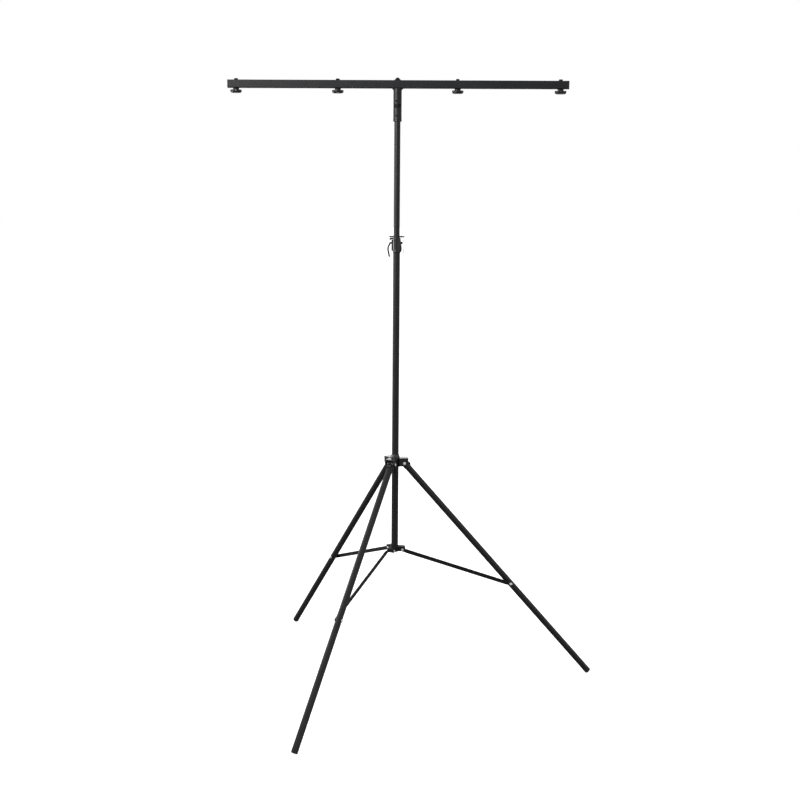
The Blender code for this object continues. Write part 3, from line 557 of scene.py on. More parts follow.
# --------------------------------------------------------------------- rivets
def rivet(shank, head, near, far, thick=2.0 * MM, hollow=0.3):
    """A rivet along Y. The head at near is rolled round a hollow, the head at far is a low dome."""
    d = 1 if near < far else -1
    hole = shank * 0.52
    profile = fillet([
        (0, far + d * thick), (head * 0.55, far + d * thick * 0.96), (head * 0.88, far + d * thick * 0.66), (head, far + d * thick * 0.28),
        (head, far), (shank, far), (shank, near), (head, near), (head, near - d * thick * 0.35), (head * 0.86, near - d * thick * 0.82),
        (head * 0.62, near - d * thick), (hole * 1.25, near - d * thick * 0.95), (hole, near - d * thick * 0.55), (hole * 0.94, near + d * 1.2 * MM), (0, near + d * 1.5 * MM),
    ], [0, 2 * MM, 1 * MM, 0.25 * MM, 0.15 * MM, 0, 0, 0.15 * MM, 0.3 * MM, 0.8 * MM, 0.8 * MM, 0.4 * MM, 0.3 * MM, 0.2 * MM, 0], 3, closed=False)
    return lathe(profile, 40, axis="Y")


# ------------------------------------------------------------------ brace hub
LOW, HIGH = 0.5335, 0.556
core = lathe(fillet([
    (16.5 * MM, HIGH), (17.5 * MM, HIGH - 1.5 * MM), (17.5 * MM, LOW + 1.5 * MM), (16.0 * MM, LOW), (12.0 * MM, LOW), (12.0 * MM, HIGH),
], 0.6 * MM, 3), 64, closed=True)
outline = fillet([(14.4 * MM, LOW + 1.2 * MM), (42.0 * MM, LOW + 2.2 * MM), (42.0 * MM, HIGH - 2.5 * MM), (14.4 * MM, HIGH - 0.7 * MM)],
                 [0, 7 * MM, 2.5 * MM, 0], 6)
arms, holes = [], []
for a in AZIMUTHS:
    arms.append(moved(slab([outline], -12.7 * MM, 12.7 * MM, 0.7 * MM, "XZ"), turned(a)))
    # the moulding is hollowed from below between the two walls that the rivet goes through
    holes.append(moved(box((20.0 * MM, -9.4 * MM, LOW - 3 * MM), (39.0 * MM, 9.4 * MM, HIGH - 5.5 * MM)), turned(a)))
    holes.append(moved(peg(3.05 * MM, -20 * MM, 20 * MM, 0, 32, "Y"), turned(a) @ at(BRACE_PIVOT_R, 0, BRACE_PIVOT_Z)))
hub = solid(core, arms, holes + [moved(peg(13.8 * MM, -40 * MM, 40 * MM, 0, 72), at(z=0.542))], voxel=0.5 * MM, rounds=4)
piece("lower_hub", hub, "lower_mast", HUB, "brace_hub", flat=False, angle=60)

small_rivet = rivet(3.0 * MM, 5.0 * MM, -14.9 * MM, 13.0 * MM)
for i, a in enumerate(AZIMUTHS, 1):
    piece(f"hub_rivet_{i}", small_rivet, "lower_mast", ZINC, f"brace_hub_rivet_{i}", turned(a) @ at(BRACE_PIVOT_R, 0, BRACE_PIVOT_Z))

# -------------------------------------------------------------------- leg hub
HUB_LOW, SHOULDER, HUB_TOP = 0.8815, 0.9215, 0.9325
ARM_LOW, ARM_HIGH, ARM_R, SLOT_TOP = 0.8855, 0.9185, 52.0 * MM, 0.9125
LOCK_AZIMUTH, LOCK_Z = math.radians(66.5), 0.893
core = lathe(fillet([
    (14.7 * MM, HUB_TOP), (15.3 * MM, HUB_TOP - 2.0 * MM), (18.0 * MM, SHOULDER), (18.0 * MM, HUB_LOW + 1.5 * MM), (16.5 * MM, HUB_LOW),
    (12.0 * MM, HUB_LOW), (12.0 * MM, HUB_TOP),
], [0.4 * MM, 2 * MM, 4 * MM, 1 * MM, 0.6 * MM, 0, 0], 4), 72, closed=True)
outline = fillet([(14.8 * MM, ARM_LOW), (ARM_R - 3 * MM, ARM_LOW), (ARM_R, ARM_HIGH), (14.8 * MM, ARM_HIGH)], [0, 11 * MM, 1.6 * MM, 0], 6)
arms, holes = [], []
for a in AZIMUTHS:
    arms.append(moved(slab([outline], -18.7 * MM, 18.7 * MM, 0.7 * MM, "XZ"), turned(a)))
    # the leg's slot is open below and outwards, under a bridge that closes the arm's top
    holes.append(moved(box((19.0 * MM, -14.7 * MM, ARM_LOW - 9 * MM), (ARM_R + 9 * MM, 14.7 * MM, SLOT_TOP)), turned(a)))
    holes.append(moved(peg(4.05 * MM, -30 * MM, 30 * MM, 0, 32, "Y"), turned(a) @ at(HUB_PIVOT_R, 0, HUB_PIVOT_Z)))
boss = moved(peg(8.0 * MM, 14 * MM, 27 * MM, 0.8 * MM, 40, "X"), turned(LOCK_AZIMUTH) @ at(z=LOCK_Z))
holes.append(moved(peg(13.8 * MM, -60 * MM, 60 * MM, 0, 72), at(z=0.91)))
holes.append(moved(peg(4.1 * MM, 5 * MM, 35 * MM, 0, 32, "X"), turned(LOCK_AZIMUTH) @ at(z=LOCK_Z)))
hub = solid(core, arms + [boss], holes, voxel=0.6 * MM, rounds=4)
piece("sliding_hub", hub, "leg_hub", GLOSSY, "leg_hub", flat=False, angle=60)

big_rivet = rivet(4.0 * MM, 6.2 * MM, -19.0 * MM, 19.0 * MM)
for i, a in enumerate(AZIMUTHS, 1):
    piece(f"leg_pivot_{i}", big_rivet, "leg_hub", ZINC, f"leg_rivet_{i}", turned(a) @ at(HUB_PIVOT_R, 0, HUB_PIVOT_Z))

lock = turned(LOCK_AZIMUTH) @ at(z=LOCK_Z)
piece("lock_screw", peg(4.0 * MM, 14.1 * MM, 36.0 * MM, 0.6 * MM, 32, "X"), "hub_lock", ZINC, "hub_lock_screw", lock)


def lobes(count, inner, outer, depth):
    """A shape for the lathe that scallops a knob's rim and leaves its middle round."""
    def shape(angle, r, z):
        grow = min(max((r - inner) / (outer - inner), 0.0), 1.0)
        grow = grow * grow * (3 - 2 * grow)
        wave = (0.5 - 0.5 * math.cos(count * angle)) ** 1.4
        return r * (1 - depth * grow * wave)
    return shape


lock_knob = lathe(fillet([
    (0, 37.0 * MM), (4.2 * MM, 37.0 * MM), (4.2 * MM, 28.0 * MM), (7.0 * MM, 28.0 * MM), (7.0 * MM, 31.2 * MM), (10.6 * MM, 31.4 * MM),
    (12.2 * MM, 32.4 * MM), (12.2 * MM, 41.6 * MM), (10.8 * MM, 43.0 * MM), (6.5 * MM, 43.0 * MM), (5.8 * MM, 42.3 * MM), (0, 42.3 * MM),
], [0, 0, 0.2 * MM, 0.5 * MM, 0.8 * MM, 1.2 * MM, 0.8 * MM, 1.4 * MM, 0.8 * MM, 0.3 * MM, 0.3 * MM, 0], 4, closed=False), 120, shape=lobes(6, 7.2 * MM, 11.0 * MM, 0.15), axis="X")
piece("lock_knob", lock_knob, "hub_lock", KNOB, "hub_lock_knob", lock, angle=50)

# ---------------------------------------------------------------- legs, braces
FOOT_SHOWN = 20.0 * MM
leg_tube = solid(pipe(LEG_R, LEG_R - 1.2 * MM, -(LEG_LENGTH - FOOT_SHOWN - 0.3 * MM), -12.3 * MM, segments=64),
                 cut=[moved(peg(4.05 * MM, -20 * MM, 20 * MM, 0, 32, "Y"), at(z=-BRACE_POINT))])
# the cap has a lip round the tube, and a block on its outer side that stops the open leg
stop_outline = fillet([(9.0 * MM, -4.4 * MM), (13.5 * MM, -4.8 * MM), (18.7 * MM, -13.0 * MM), (18.3 * MM, -16.5 * MM), (13.6 * MM, -22.8 * MM), (9.0 * MM, -22.8 * MM)],
                      [0, 1.5 * MM, 2 * MM, 1.5 * MM, 1.5 * MM, 0], 4)
cap_cover = lathe(fillet([
    (0, 0), (13.6 * MM, 0), (13.7 * MM, -18.2 * MM), (14.2 * MM, -19.0 * MM), (14.2 * MM, -21.2 * MM), (12.9 * MM, -23.5 * MM), (0, -23.5 * MM),
], [0, 0.8 * MM, 0.5 * MM, 0.5 * MM, 0.3 * MM, 0.2 * MM, 0], 4, closed=False), 64)
leg_cap = solid(
    cap_cover,
    [peg(13.2 * MM, -14.3 * MM, 14.3 * MM, 0.9 * MM, 56, "Y"), slab([stop_outline], -9.0 * MM, 9.0 * MM, 0.8 * MM, "XZ")],
    [peg(12.65 * MM, -32 * MM, -12.0 * MM, 0, 56), peg(4.05 * MM, -20 * MM, 20 * MM, 0, 32, "Y")],
    voxel=0.45 * MM, rounds=3,
)

# the foot is a rubber plug: a spigot in the tube, and a tread that is flush with it
FOOT_LOW, FOOT_HIGH = -LEG_LENGTH, -(LEG_LENGTH - 45.0 * MM)
foot = lathe(fillet([
    (0, FOOT_HIGH), (9.8 * MM, FOOT_HIGH), (10.9 * MM, FOOT_HIGH - 1.8 * MM), (10.9 * MM, FOOT_LOW + FOOT_SHOWN), (12.2 * MM, FOOT_LOW + FOOT_SHOWN),
    (12.6 * MM, FOOT_LOW + FOOT_SHOWN - 0.9 * MM), (12.6 * MM, FOOT_LOW + 9.4 * MM), (12.1 * MM, FOOT_LOW + 8.9 * MM), (12.1 * MM, FOOT_LOW + 8.1 * MM),
    (12.6 * MM, FOOT_LOW + 7.6 * MM), (12.6 * MM, FOOT_LOW + 2.2 * MM), (11.8 * MM, FOOT_LOW + 0.4 * MM), (10.8 * MM, FOOT_LOW), (0, FOOT_LOW),
], [0, 0.4 * MM, 0.6 * MM, 0.1 * MM, 0.3 * MM, 0.4 * MM, 0.3 * MM, 0.2 * MM, 0.2 * MM, 0.3 * MM, 1.2 * MM, 0.6 * MM, 0.8 * MM, 0], 3, closed=False), 64)
# the rubber is worn flat where the open leg stands on the floor
floor_normal = Vector((math.sin(LEG_ANGLE), 0, math.cos(LEG_ANGLE)))
bm = bmesh.new()
bm.from_mesh(foot)
flat = bmesh.ops.bisect_plane(bm, geom=bm.verts[:] + bm.edges[:] + bm.faces[:], dist=1e-7,
                              plane_co=floor_normal * -HUB_PIVOT_Z, plane_no=floor_normal, clear_inner=True)
edges = [e for e in flat["geom_cut"] if isinstance(e, bmesh.types.BMEdge)]
if edges:
    bmesh.ops.contextual_create(bm, geom=edges)
foot = finished(bm, "foot")

stud = lathe(fillet([
    (0, 14.9 * MM), (3.3 * MM, 14.8 * MM), (5.3 * MM, 14.2 * MM), (6.0 * MM, 13.45 * MM), (6.0 * MM, 12.9 * MM), (4.0 * MM, 12.9 * MM),
    (4.0 * MM, -12.3 * MM), (0, -12.3 * MM),
], [0, 2 * MM, 1 * MM, 0.25 * MM, 0.15 * MM, 0, 0.3 * MM, 0], 3, closed=False), 40, axis="Y")
stud.transform(at(z=-BRACE_POINT))

rivet_r = HUB_PIVOT_R + BRACE_POINT * math.sin(LEG_ANGLE)
rivet_z = HUB_PIVOT_Z - BRACE_POINT * math.cos(LEG_ANGLE)
BRACE_LENGTH = math.hypot(rivet_r - BRACE_PIVOT_R, rivet_z - BRACE_PIVOT_Z)
BRACE_ANGLE = math.atan2(rivet_z - BRACE_PIVOT_Z, rivet_r - BRACE_PIVOT_R)


def channel(length, half, width, sheet, side, ramp=(11 * MM, 20 * MM)):
    """A pressed steel U: its web stands beside the leg, its flanges turn outwards and run out towards both ends."""
    ends = [(half * math.cos(a), half * math.sin(a)) for a in (math.pi / 2 + math.pi * k / 20 for k in range(21))]
    ends += [(length + half * math.cos(a), half * math.sin(a)) for a in (-math.pi / 2 + math.pi * k / 20 for k in range(21))]
    web = slab([ends], -side - sheet, -side, 0.35 * MM, "XZ", 2)
    bend = 2.2 * MM
    outer = fillet([(-side, -half), (-side - width, -half), (-side - width, -half + sheet), (-side - sheet, -half + sheet),
                    (-side - sheet, half - sheet), (-side - width, half - sheet), (-side - width, half), (-side, half)],
                   [bend, 0.5 * MM, 0.5 * MM, bend - sheet, bend - sheet, 0.5 * MM, 0.5 * MM, bend], 5)
    body = slab([outer], ramp[0], length - ramp[0], 0.2 * MM, "YZ", 2)
    bm = bmesh.new()
    bm.from_mesh(body)
    rise = (ramp[1] - ramp[0])
    for x, d in ((ramp[0], -1), (length - ramp[0], 1)):
        # a slanted cut from the web's face out to the flange's full width
        normal = Vector((d * (width - sheet), -rise, 0)).normalized()
        cut = bmesh.ops.bisect_plane(bm, geom=bm.verts[:] + bm.edges[:] + bm.faces[:], dist=1e-7,
                                     plane_co=(x, -side - sheet * 0.6, 0), plane_no=normal, clear_outer=True)
        found = [e for e in cut["geom_cut"] if isinstance(e, bmesh.types.BMEdge)]
        if found:
            bmesh.ops.holes_fill(bm, edges=found, sides=0)
    body = finished(bm, "channel")
    return solid(web, [body], [peg(3.05 * MM, -40 * MM, 40 * MM, 0, 32, "Y"),
                               moved(peg(4.05 * MM, -40 * MM, 40 * MM, 0, 32, "Y"), at(x=length))])


brace = channel(BRACE_LENGTH, 7.5 * MM, 4.8 * MM, 1.6 * MM, 13.0 * MM)
brace_rivet = lathe(fillet([
    (0, -13.1 * MM), (4.0 * MM, -13.1 * MM), (4.0 * MM, -14.9 * MM), (6.0 * MM, -14.9 * MM), (6.0 * MM, -15.5 * MM), (5.2 * MM, -16.45 * MM),
    (3.8 * MM, -16.9 * MM), (2.6 * MM, -16.85 * MM), (2.0 * MM, -16.2 * MM), (1.8 * MM, -15.1 * MM), (0, -14.9 * MM),
], [0, 0.2 * MM, 0, 0.15 * MM, 0.3 * MM, 0.8 * MM, 0.8 * MM, 0.4 * MM, 0.3 * MM, 0.2 * MM, 0], 3, closed=False), 40, axis="Y")

for i, a in enumerate(AZIMUTHS, 1):
    leg = turned(a) @ at(HUB_PIVOT_R, 0, HUB_PIVOT_Z) @ turned(-LEG_ANGLE, "Y")
    piece(f"tube_{i}", leg_tube, f"leg_{i}", TUBE, f"leg_tube_{i}", leg)
    piece(f"cap_{i}", leg_cap, f"leg_{i}", PLASTIC, f"leg_cap_{i}", leg, flat=False, angle=60)
    piece(f"foot_{i}", foot, f"leg_{i}", RUBBER, f"leg_foot_{i}", leg)
    piece(f"stud_{i}", stud, f"leg_{i}", ZINC, f"leg_stud_{i}", leg)
    arm = turned(a) @ at(BRACE_PIVOT_R, 0, BRACE_PIVOT_Z) @ turned(-BRACE_ANGLE, "Y")
    piece(f"strut_{i}", brace, f"brace_{i}", STRAP, f"brace_{i}", arm)
    piece(f"strut_rivet_{i}", brace_rivet, f"brace_{i}", ZINC, f"brace_rivet_{i}",
          arm @ at(x=BRACE_LENGTH))

# ------------------------------------------------------------ collar and clamp
COLLAR_LOW, COLLAR_HIGH = 1.7285, 1.7875
CLAMP_Y, CLAMP_Z, LEVER_X = 20.5 * MM, 1.766, -25.0 * MM
core = lathe(fillet([
    (14.4 * MM, COLLAR_HIGH), (15.2 * MM, COLLAR_HIGH - 1.5 * MM), (15.2 * MM, COLLAR_LOW + 2 * MM), (14.5 * MM, COLLAR_LOW),
    (12.0 * MM, COLLAR_LOW), (12.0 * MM, COLLAR_HIGH),
], [0.4 * MM, 1 * MM, 1 * MM, 0.3 * MM, 0, 0], 3), 72, closed=True)
ears = slab([fillet([(-15.5 * MM, 1.752), (15.5 * MM, 1.752), (15.5 * MM, 1.7868), (-15.5 * MM, 1.7868)], 2.5 * MM, 4)], 8 * MM, 28 * MM, 1.6 * MM, "XZ")
bulge = slab([fillet(
    [(4 * MM, 1.7862), (15.4 * MM, 1.7862), (17.4 * MM, 1.766), (20.3 * MM, 1.749), (20.0 * MM, 1.737), (14.0 * MM, 1.7292), (4 * MM, 1.7292)],
    [0, 4 * MM, 20 * MM, 9 * MM, 9 * MM, 4 * MM, 0], 6)], -9 * MM, 13 * MM, 1.6 * MM, "XZ")
finger = slab([fillet(
    [(-12 * MM, 1.7868), (-19 * MM, 1.7868), (-28.5 * MM, 1.7856), (-28.5 * MM, 1.7770), (-22.3 * MM, 1.7782), (-21.3 * MM, 1.7803), (-12 * MM, 1.7795)],
    [0, 6 * MM, 2.8 * MM, 2.8 * MM, 0.6 * MM, 0.6 * MM, 0], 6)], 11 * MM, 27.6 * MM, 0.9 * MM, "XZ")
# two mould ribs run round the collar's lower half
ribs = [lathe(fillet([(15.7 * MM, z + 1.6 * MM), (15.7 * MM, z), (14.2 * MM, z), (14.2 * MM, z + 1.6 * MM)], 0.5 * MM, 2), 72, closed=True)
        for z in (1.7325, 1.7385)]
collar = solid(core, [ears, bulge, finger] + ribs, [
    moved(peg(13.8 * MM, -60 * MM, 60 * MM, 0, 72), at(z=1.76)),
    box((-1.25 * MM, 11 * MM, 1.70), (1.25 * MM, 40 * MM, 1.80)),
    moved(peg(3.3 * MM, -40 * MM, 40 * MM, 0, 32, "X"), at(y=CLAMP_Y, z=CLAMP_Z)),
], voxel=0.45 * MM, rounds=4)
piece("clamp_collar", collar, "lower_mast", GLOSSY, "mast_collar", flat=False, angle=60)
piece("liner", pipe(13.4 * MM, 12.0 * MM, LOWER_TOP + 0.5 * MM, COLLAR_HIGH - 0.2 * MM, 0.3 * MM), "lower_mast", PLASTIC, "collar_liner")


def thread(radius, low, high, pitch=1.0 * MM, depth=0.35 * MM):
    """Ridges for a screw's thread, as (radius, height) points from low to high."""
    out, z = [], low
    while z + pitch <= high + 1e-9:
        out += [(radius - depth, z), (radius, z + pitch * 0.35), (radius, z + pitch * 0.55), (radius - depth, z + pitch * 0.95)]
        z += pitch
    return out


bolt = lathe([(0, -24.8 * MM), (3.0 * MM, -24.8 * MM), (3.0 * MM, 15.5 * MM)] + thread(3.0 * MM, 15.6 * MM, 21.0 * MM)
             + [(2.5 * MM, 21.4 * MM), (2.0 * MM, 21.5 * MM), (0, 21.5 * MM)], 32, axis="X")
bolt = joined(moved(bolt, at(0, CLAMP_Y, CLAMP_Z)), moved(peg(3.2 * MM, -8.5 * MM, 8.5 * MM, 0.5 * MM, 32, "Y"), at(LEVER_X, CLAMP_Y, CLAMP_Z)))
piece("cross_bolt", bolt, "lower_mast", STEEL, "clamp_bolt")


def hexagon(radius):
    return [(radius * math.cos(TAU * (k + 0.5) / 6), radius * math.sin(TAU * (k + 0.5) / 6)) for k in range(6)]


def hex_head(across, low, high, bore=0.0, chamfer=0.5, both=False):
    """A hexagon whose corners are turned off at the top, along Z."""
    r = across / math.sqrt(3)
    drop = (r - across / 2) * chamfer
    turning = [(0, high), (across / 2 * 0.97, high), (r * 1.01, high - drop - 0.3 * MM), (r * 1.01, low + (drop if both else 0)),
               (across / 2 * 0.97 if both else r * 1.01, low), (0, low)]
    shape = slab([hexagon(r)], low, high, 0.12 * MM, "XY", 2)
    obj = hold(shape)
    lathed = hold(lathe(turning, 60))
    boolean = obj.modifiers.new("turn off", "BOOLEAN")
    boolean.operation = "INTERSECT"
    boolean.object = lathed
    boolean.solver = "EXACT"
    mesh = settle(obj)
    bpy.data.objects.remove(lathed)
    if bore:
        mesh = solid(mesh, cut=[peg(bore, low - 5 * MM, high + 5 * MM, 0, 32)])
    return mesh


nut = solid(
    moved(hex_head(9.7 * MM, 15.8 * MM, 19.8 * MM), turned(math.pi / 2, "Y")),
    [peg(4.4 * MM, 19.0 * MM, 22.8 * MM, 0.8 * MM, 40, "X"), peg(5.6 * MM, 15.8 * MM, 16.7 * MM, 0.25 * MM, 48, "X")],
    [peg(3.1 * MM, 10 * MM, 30 * MM, 0, 32, "X")],
)
piece("lock_nut", nut, "lower_mast", BLACKENED, "clamp_nut", at(0, CLAMP_Y, CLAMP_Z), angle=30)

plate_outline = fillet([(CLAMP_Y - 7.5 * MM, 1.7785), (CLAMP_Y + 7.0 * MM, 1.7785), (CLAMP_Y + 7.0 * MM, 1.736), (CLAMP_Y - 7.5 * MM, 1.736)], 4 * MM, 8)
cam_plate = solid(slab([plate_outline], -20.6 * MM, -15.8 * MM, 0.7 * MM, "YZ"), cut=[
    moved(peg(3.3 * MM, -30 * MM, 0, 0, 32, "X"), at(y=CLAMP_Y, z=CLAMP_Z))])
piece("pressure_plate", cam_plate, "lower_mast", BLACKENED, "cam_plate")

# the lever is a bent grip that thickens into a cam round its pivot
lever_path = smooth([(-0.6, 0.4), (-3.1, -5.0), (-6.3, -11.0), (-8.6, -18.0), (-9.0, -26.0), (-7.7, -34.0), (-5.6, -43.0), (-3.9, -54.0)], 42)
left, right = [], []
for k, p in enumerate(lever_path):
    before, after = lever_path[max(k - 1, 0)], lever_path[min(k + 1, len(lever_path) - 1)]
    along_path = (after - before).normalized()
    t = k / (len(lever_path) - 1)
    half = (3.4 - 0.6 * min(1.0, t * 3.2)) * (1.0 if t < 0.93 else 1.0 - 0.35 * ((t - 0.93) / 0.07) ** 2)
    side = Vector((-along_path.y, along_path.x)) * half
    left.append((LEVER_X + (p.x + side.x) * MM, CLAMP_Z + (p.y + side.y) * MM))
    right.append((LEVER_X + (p.x - side.x) * MM, CLAMP_Z + (p.y - side.y) * MM))
blade = slab([left + right[::-1]], CLAMP_Y - 8 * MM, CLAMP_Y + 7.5 * MM, 0.9 * MM, "XZ")
lever = solid(blade, [moved(peg(4.0 * MM, -7.95 * MM, 7.95 * MM, 0.5 * MM, 48, "Y"), at(LEVER_X, CLAMP_Y - 0.25 * MM, CLAMP_Z))], [
    moved(peg(3.3 * MM, -20 * MM, 20 * MM, 0, 32, "Y"), at(LEVER_X, CLAMP_Y, CLAMP_Z)),
    moved(peg(8.0 * MM, -3.7 * MM, 3.7 * MM, 0, 48, "Y"), at(LEVER_X, CLAMP_Y, CLAMP_Z)),
], voxel=0.4 * MM, rounds=3)
piece("quick_lever", lever, "clamp_lever", BLACKENED, "clamp_lever", flat=False, angle=60)

# ------------------------------------------------------------------ safety pin
shank = lathe(fillet([
    (0, -29.0 * MM), (1.7 * MM, -29.0 * MM), (3.0 * MM, -27.0 * MM), (3.0 * MM, -22.5 * MM), (2.6 * MM, -22.0 * MM), (2.6 * MM, -21.0 * MM),
    (3.0 * MM, -20.5 * MM), (3.0 * MM, 18.05 * MM), (4.4 * MM, 18.05 * MM), (4.4 * MM, 21.55 * MM), (2.4 * MM, 22.2 * MM), (0, 22.4 * MM),
], [0, 0.5 * MM, 0.6 * MM, 0.15 * MM, 0.15 * MM, 0.15 * MM, 0.15 * MM, 0, 0.4 * MM, 0.5 * MM, 0.3 * MM, 0], 3, closed=False), 48, axis="X")
eye = fillet([(21.0 * MM, -2.7 * MM), (26.5 * MM, -3.0 * MM), (31.1 * MM, -3.5 * MM), (31.1 * MM, 3.5 * MM), (26.5 * MM, 3.0 * MM), (21.0 * MM, 2.7 * MM)],
             [0, 3 * MM, 3.4 * MM, 3.4 * MM, 3 * MM, 0], 8)
hole = [(28.0 * MM + 1.5 * MM * math.cos(TAU * k / 24), -0.3 * MM + 1.5 * MM * math.sin(TAU * k / 24)) for k in range(24)]
eye = slab([eye, hole], -1.5 * MM, 1.5 * MM, 0.45 * MM, "XZ")
piece("locking_pin", joined(shank, eye), "safety_pin", STEEL, "safety_pin", at(z=PIN_Z), angle=40)
piece("split_ring", coil(5.5 * MM, 0.55 * MM, 2.1, 1.25 * MM, 44), "safety_pin", STEEL, "pin_split_ring",
      at(28.0 * MM, 0, RING_Z), flat=False, angle=60)

# --------------------------------------------------------------------- T-head
sleeve = lathe(fillet([
    (0, BAR_LOW - 0.3 * MM), (15.9 * MM, BAR_LOW - 0.3 * MM), (15.9 * MM, 2.2912), (15.3 * MM, 2.2905), (15.3 * MM, 2.2775), (15.9 * MM, 2.2768),
    (15.9 * MM, 2.2395), (16.1 * MM, 2.2385), (16.1 * MM, 2.234), (13.2 * MM, 2.234), (13.2 * MM, BAR_LOW - 4.3 * MM), (0, BAR_LOW - 4.3 * MM),
], [0, 0.2 * MM, 0.3 * MM, 0.2 * MM, 0.2 * MM, 0.3 * MM, 0.4 * MM, 0.4 * MM, 0.4 * MM, 0.4 * MM, 0.6 * MM, 0], 3, closed=False), 80)
gusset = slab([fillet([(-21.5 * MM, BAR_LOW - 0.3 * MM), (21.5 * MM, BAR_LOW - 0.3 * MM), (21.5 * MM, BAR_LOW - 1.2 * MM), (16.6 * MM, 2.3440), (15.5 * MM, 2.3410),
                       (-15.5 * MM, 2.3410), (-16.6 * MM, 2.3440), (-21.5 * MM, BAR_LOW - 1.2 * MM)], [0, 0, 0.4 * MM, 4 * MM, 1 * MM, 1 * MM, 4 * MM, 0.4 * MM], 5)],
              -11 * MM, 11 * MM, 0.25 * MM, "XZ", 2)
SCREW_Z, SCREW_AZIMUTH = (2.302, 2.248), math.radians(-104)
cuts = [moved(peg(5.2 * MM, -10 * MM, 10 * MM, 0, 40), at(z=BAR_LOW))]
for z in SCREW_Z:
    cuts.append(moved(lathe([(0, 10 * MM), (3.1 * MM, 10 * MM), (3.1 * MM, 14.6 * MM), (4.6 * MM, 16.4 * MM), (4.6 * MM, 20 * MM), (0, 20 * MM)], 40, axis="X"), turned(SCREW_AZIMUTH) @ at(z=z)))
socket = solid(sleeve, [gusset], cuts)
piece("socket", socket, "t_head", COAT, "t_socket")

# a dull friction band lies in the sleeve's groove
piece("groove_band", lathe(fillet([
    (15.65 * MM, 2.2902), (15.65 * MM, 2.2778), (14.6 * MM, 2.2778), (14.6 * MM, 2.2902),
], 0.3 * MM, 3), 80, closed=True), "t_head", DULL)

# the weld between the sleeve and the bar is a bead of overlapping ripples
bead_path, ripples = [], 44
steps = ripples * 6
for k in range(steps):
    a = TAU * k / steps
    bead_path.append((16.1 * MM * math.cos(a), min(max(16.1 * MM * math.sin(a), -13.6 * MM), 13.6 * MM), BAR_LOW - 1.5 * MM))


def ripple(step, angle):
    return 1.0 + 0.16 * abs(math.sin(math.pi * step * ripples / steps)) - 0.10


piece("weld", sweep(bead_path, 1.5 * MM, 14, ripple, closed=True), "t_head", COAT, flat=False, angle=60)

for i, z in enumerate(SCREW_Z, 1):
    grub = solid(peg(3.0 * MM, 13.3 * MM, 15.2 * MM, 0.35 * MM, 32, "X"), cut=[slab([hexagon(1.7 * MM)], 14.1 * MM, 18 * MM, 0.01 * MM, "YZ", 1)])
    piece(f"grub_screw_{i}", grub, "t_head", DULL, f"socket_screw_{i}", turned(SCREW_AZIMUTH) @ at(z=z), angle=30)

piece("bush", lathe(fillet([
    (13.0 * MM, 2.320), (13.0 * MM, 2.2337), (15.9 * MM, 2.2337), (16.5 * MM, 2.2330), (16.5 * MM, 2.2275), (15.5 * MM, 2.2262), (11.95 * MM, 2.2262), (11.95 * MM, 2.320),
], [0.3 * MM, 0, 0.2 * MM, 0.3 * MM, 0.6 * MM, 0.4 * MM, 0.3 * MM, 0.3 * MM], 3, closed=True), 72, closed=True), "t_head", PLASTIC, "head_bush")


def square(side, radius, steps=6):
    h = side / 2
    return fillet([(-h, -h), (h, -h), (h, h), (-h, h)], radius, steps)


bar = slab([square(30 * MM, 3.0 * MM), square(26.4 * MM, 1.2 * MM)[::-1]], -0.6450, 0.6450, 0.15 * MM, "YZ", 2)
bar_cuts = [moved(peg(4.3 * MM, -30 * MM, 30 * MM, 0, 32), at(x=x)) for x in LAMP_X] + [peg(5.2 * MM, -30 * MM, 30 * MM, 0, 40)]
piece("bar", solid(bar, cut=bar_cuts), "t_head", COAT, "t_bar", at(z=BAR_Z))

for i, d in enumerate((-1, 1), 1):
    flange = slab([square(30.6 * MM, 3.2 * MM)], 0.6450 + 0.3 * MM, 0.6475, 0.9 * MM, "YZ", 4)
    insert = slab([square(25.8 * MM, 1.2 * MM)], 0.6450 - 12 * MM, 0.6450 + 1.2 * MM, 0.4 * MM, "YZ", 2)
    dish = moved(lathe([(0, 0), (9.5 * MM, 0), (9.8 * MM, 0.25 * MM), (9.8 * MM, 5 * MM), (0, 5 * MM)], 64, axis="X"), at(x=0.6475 - 0.35 * MM))
    cap = solid(flange, [insert], [dish])
    piece(f"end_cap_{i}", cap, "t_head", PLASTIC, f"bar_end_cap_{i}", at(z=BAR_Z) @ (turned(math.pi) if d < 0 else Matrix()))

cap_bolt = lathe(fillet([
    (0, 2.3896), (2.8 * MM, 2.3893), (5.0 * MM, 2.3881), (7.2 * MM, 2.3858), (9.6 * MM, 2.3830), (12.0 * MM, 2.3812),
    (12.0 * MM, BAR_HIGH + 0.3 * MM), (5.0 * MM, BAR_HIGH + 0.3 * MM), (5.0 * MM, 2.3420), (0, 2.3420),
], [0, 4 * MM, 4 * MM, 3 * MM, 1 * MM, 0.5 * MM, 0.2 * MM, 0, 0.5 * MM, 0], 5, closed=False), 64)
piece("centre_bolt", cap_bolt, "t_head", BLACKENED, "head_cap_bolt")

KNOB_LOW, KNOB_DISC, KNOB_TOP = BAR_LOW - 18.5 * MM, BAR_LOW - 7.0 * MM, BAR_LOW - 0.3 * MM
head = hex_head(13.0 * MM, BAR_HIGH + 0.3 * MM, BAR_HIGH + 5.6 * MM)
washer = lathe(fillet([(7.4 * MM, BAR_HIGH + 0.9 * MM), (7.4 * MM, BAR_HIGH + 0.3 * MM), (3.0 * MM, BAR_HIGH + 0.3 * MM), (3.0 * MM, BAR_HIGH + 0.9 * MM)], 0.15 * MM, 2), 48, closed=True)
shank = peg(4.0 * MM, KNOB_LOW + 3.2 * MM, BAR_HIGH + 1.0 * MM, 0.5 * MM, 32)
lamp_bolt = solid(head, [washer, shank])

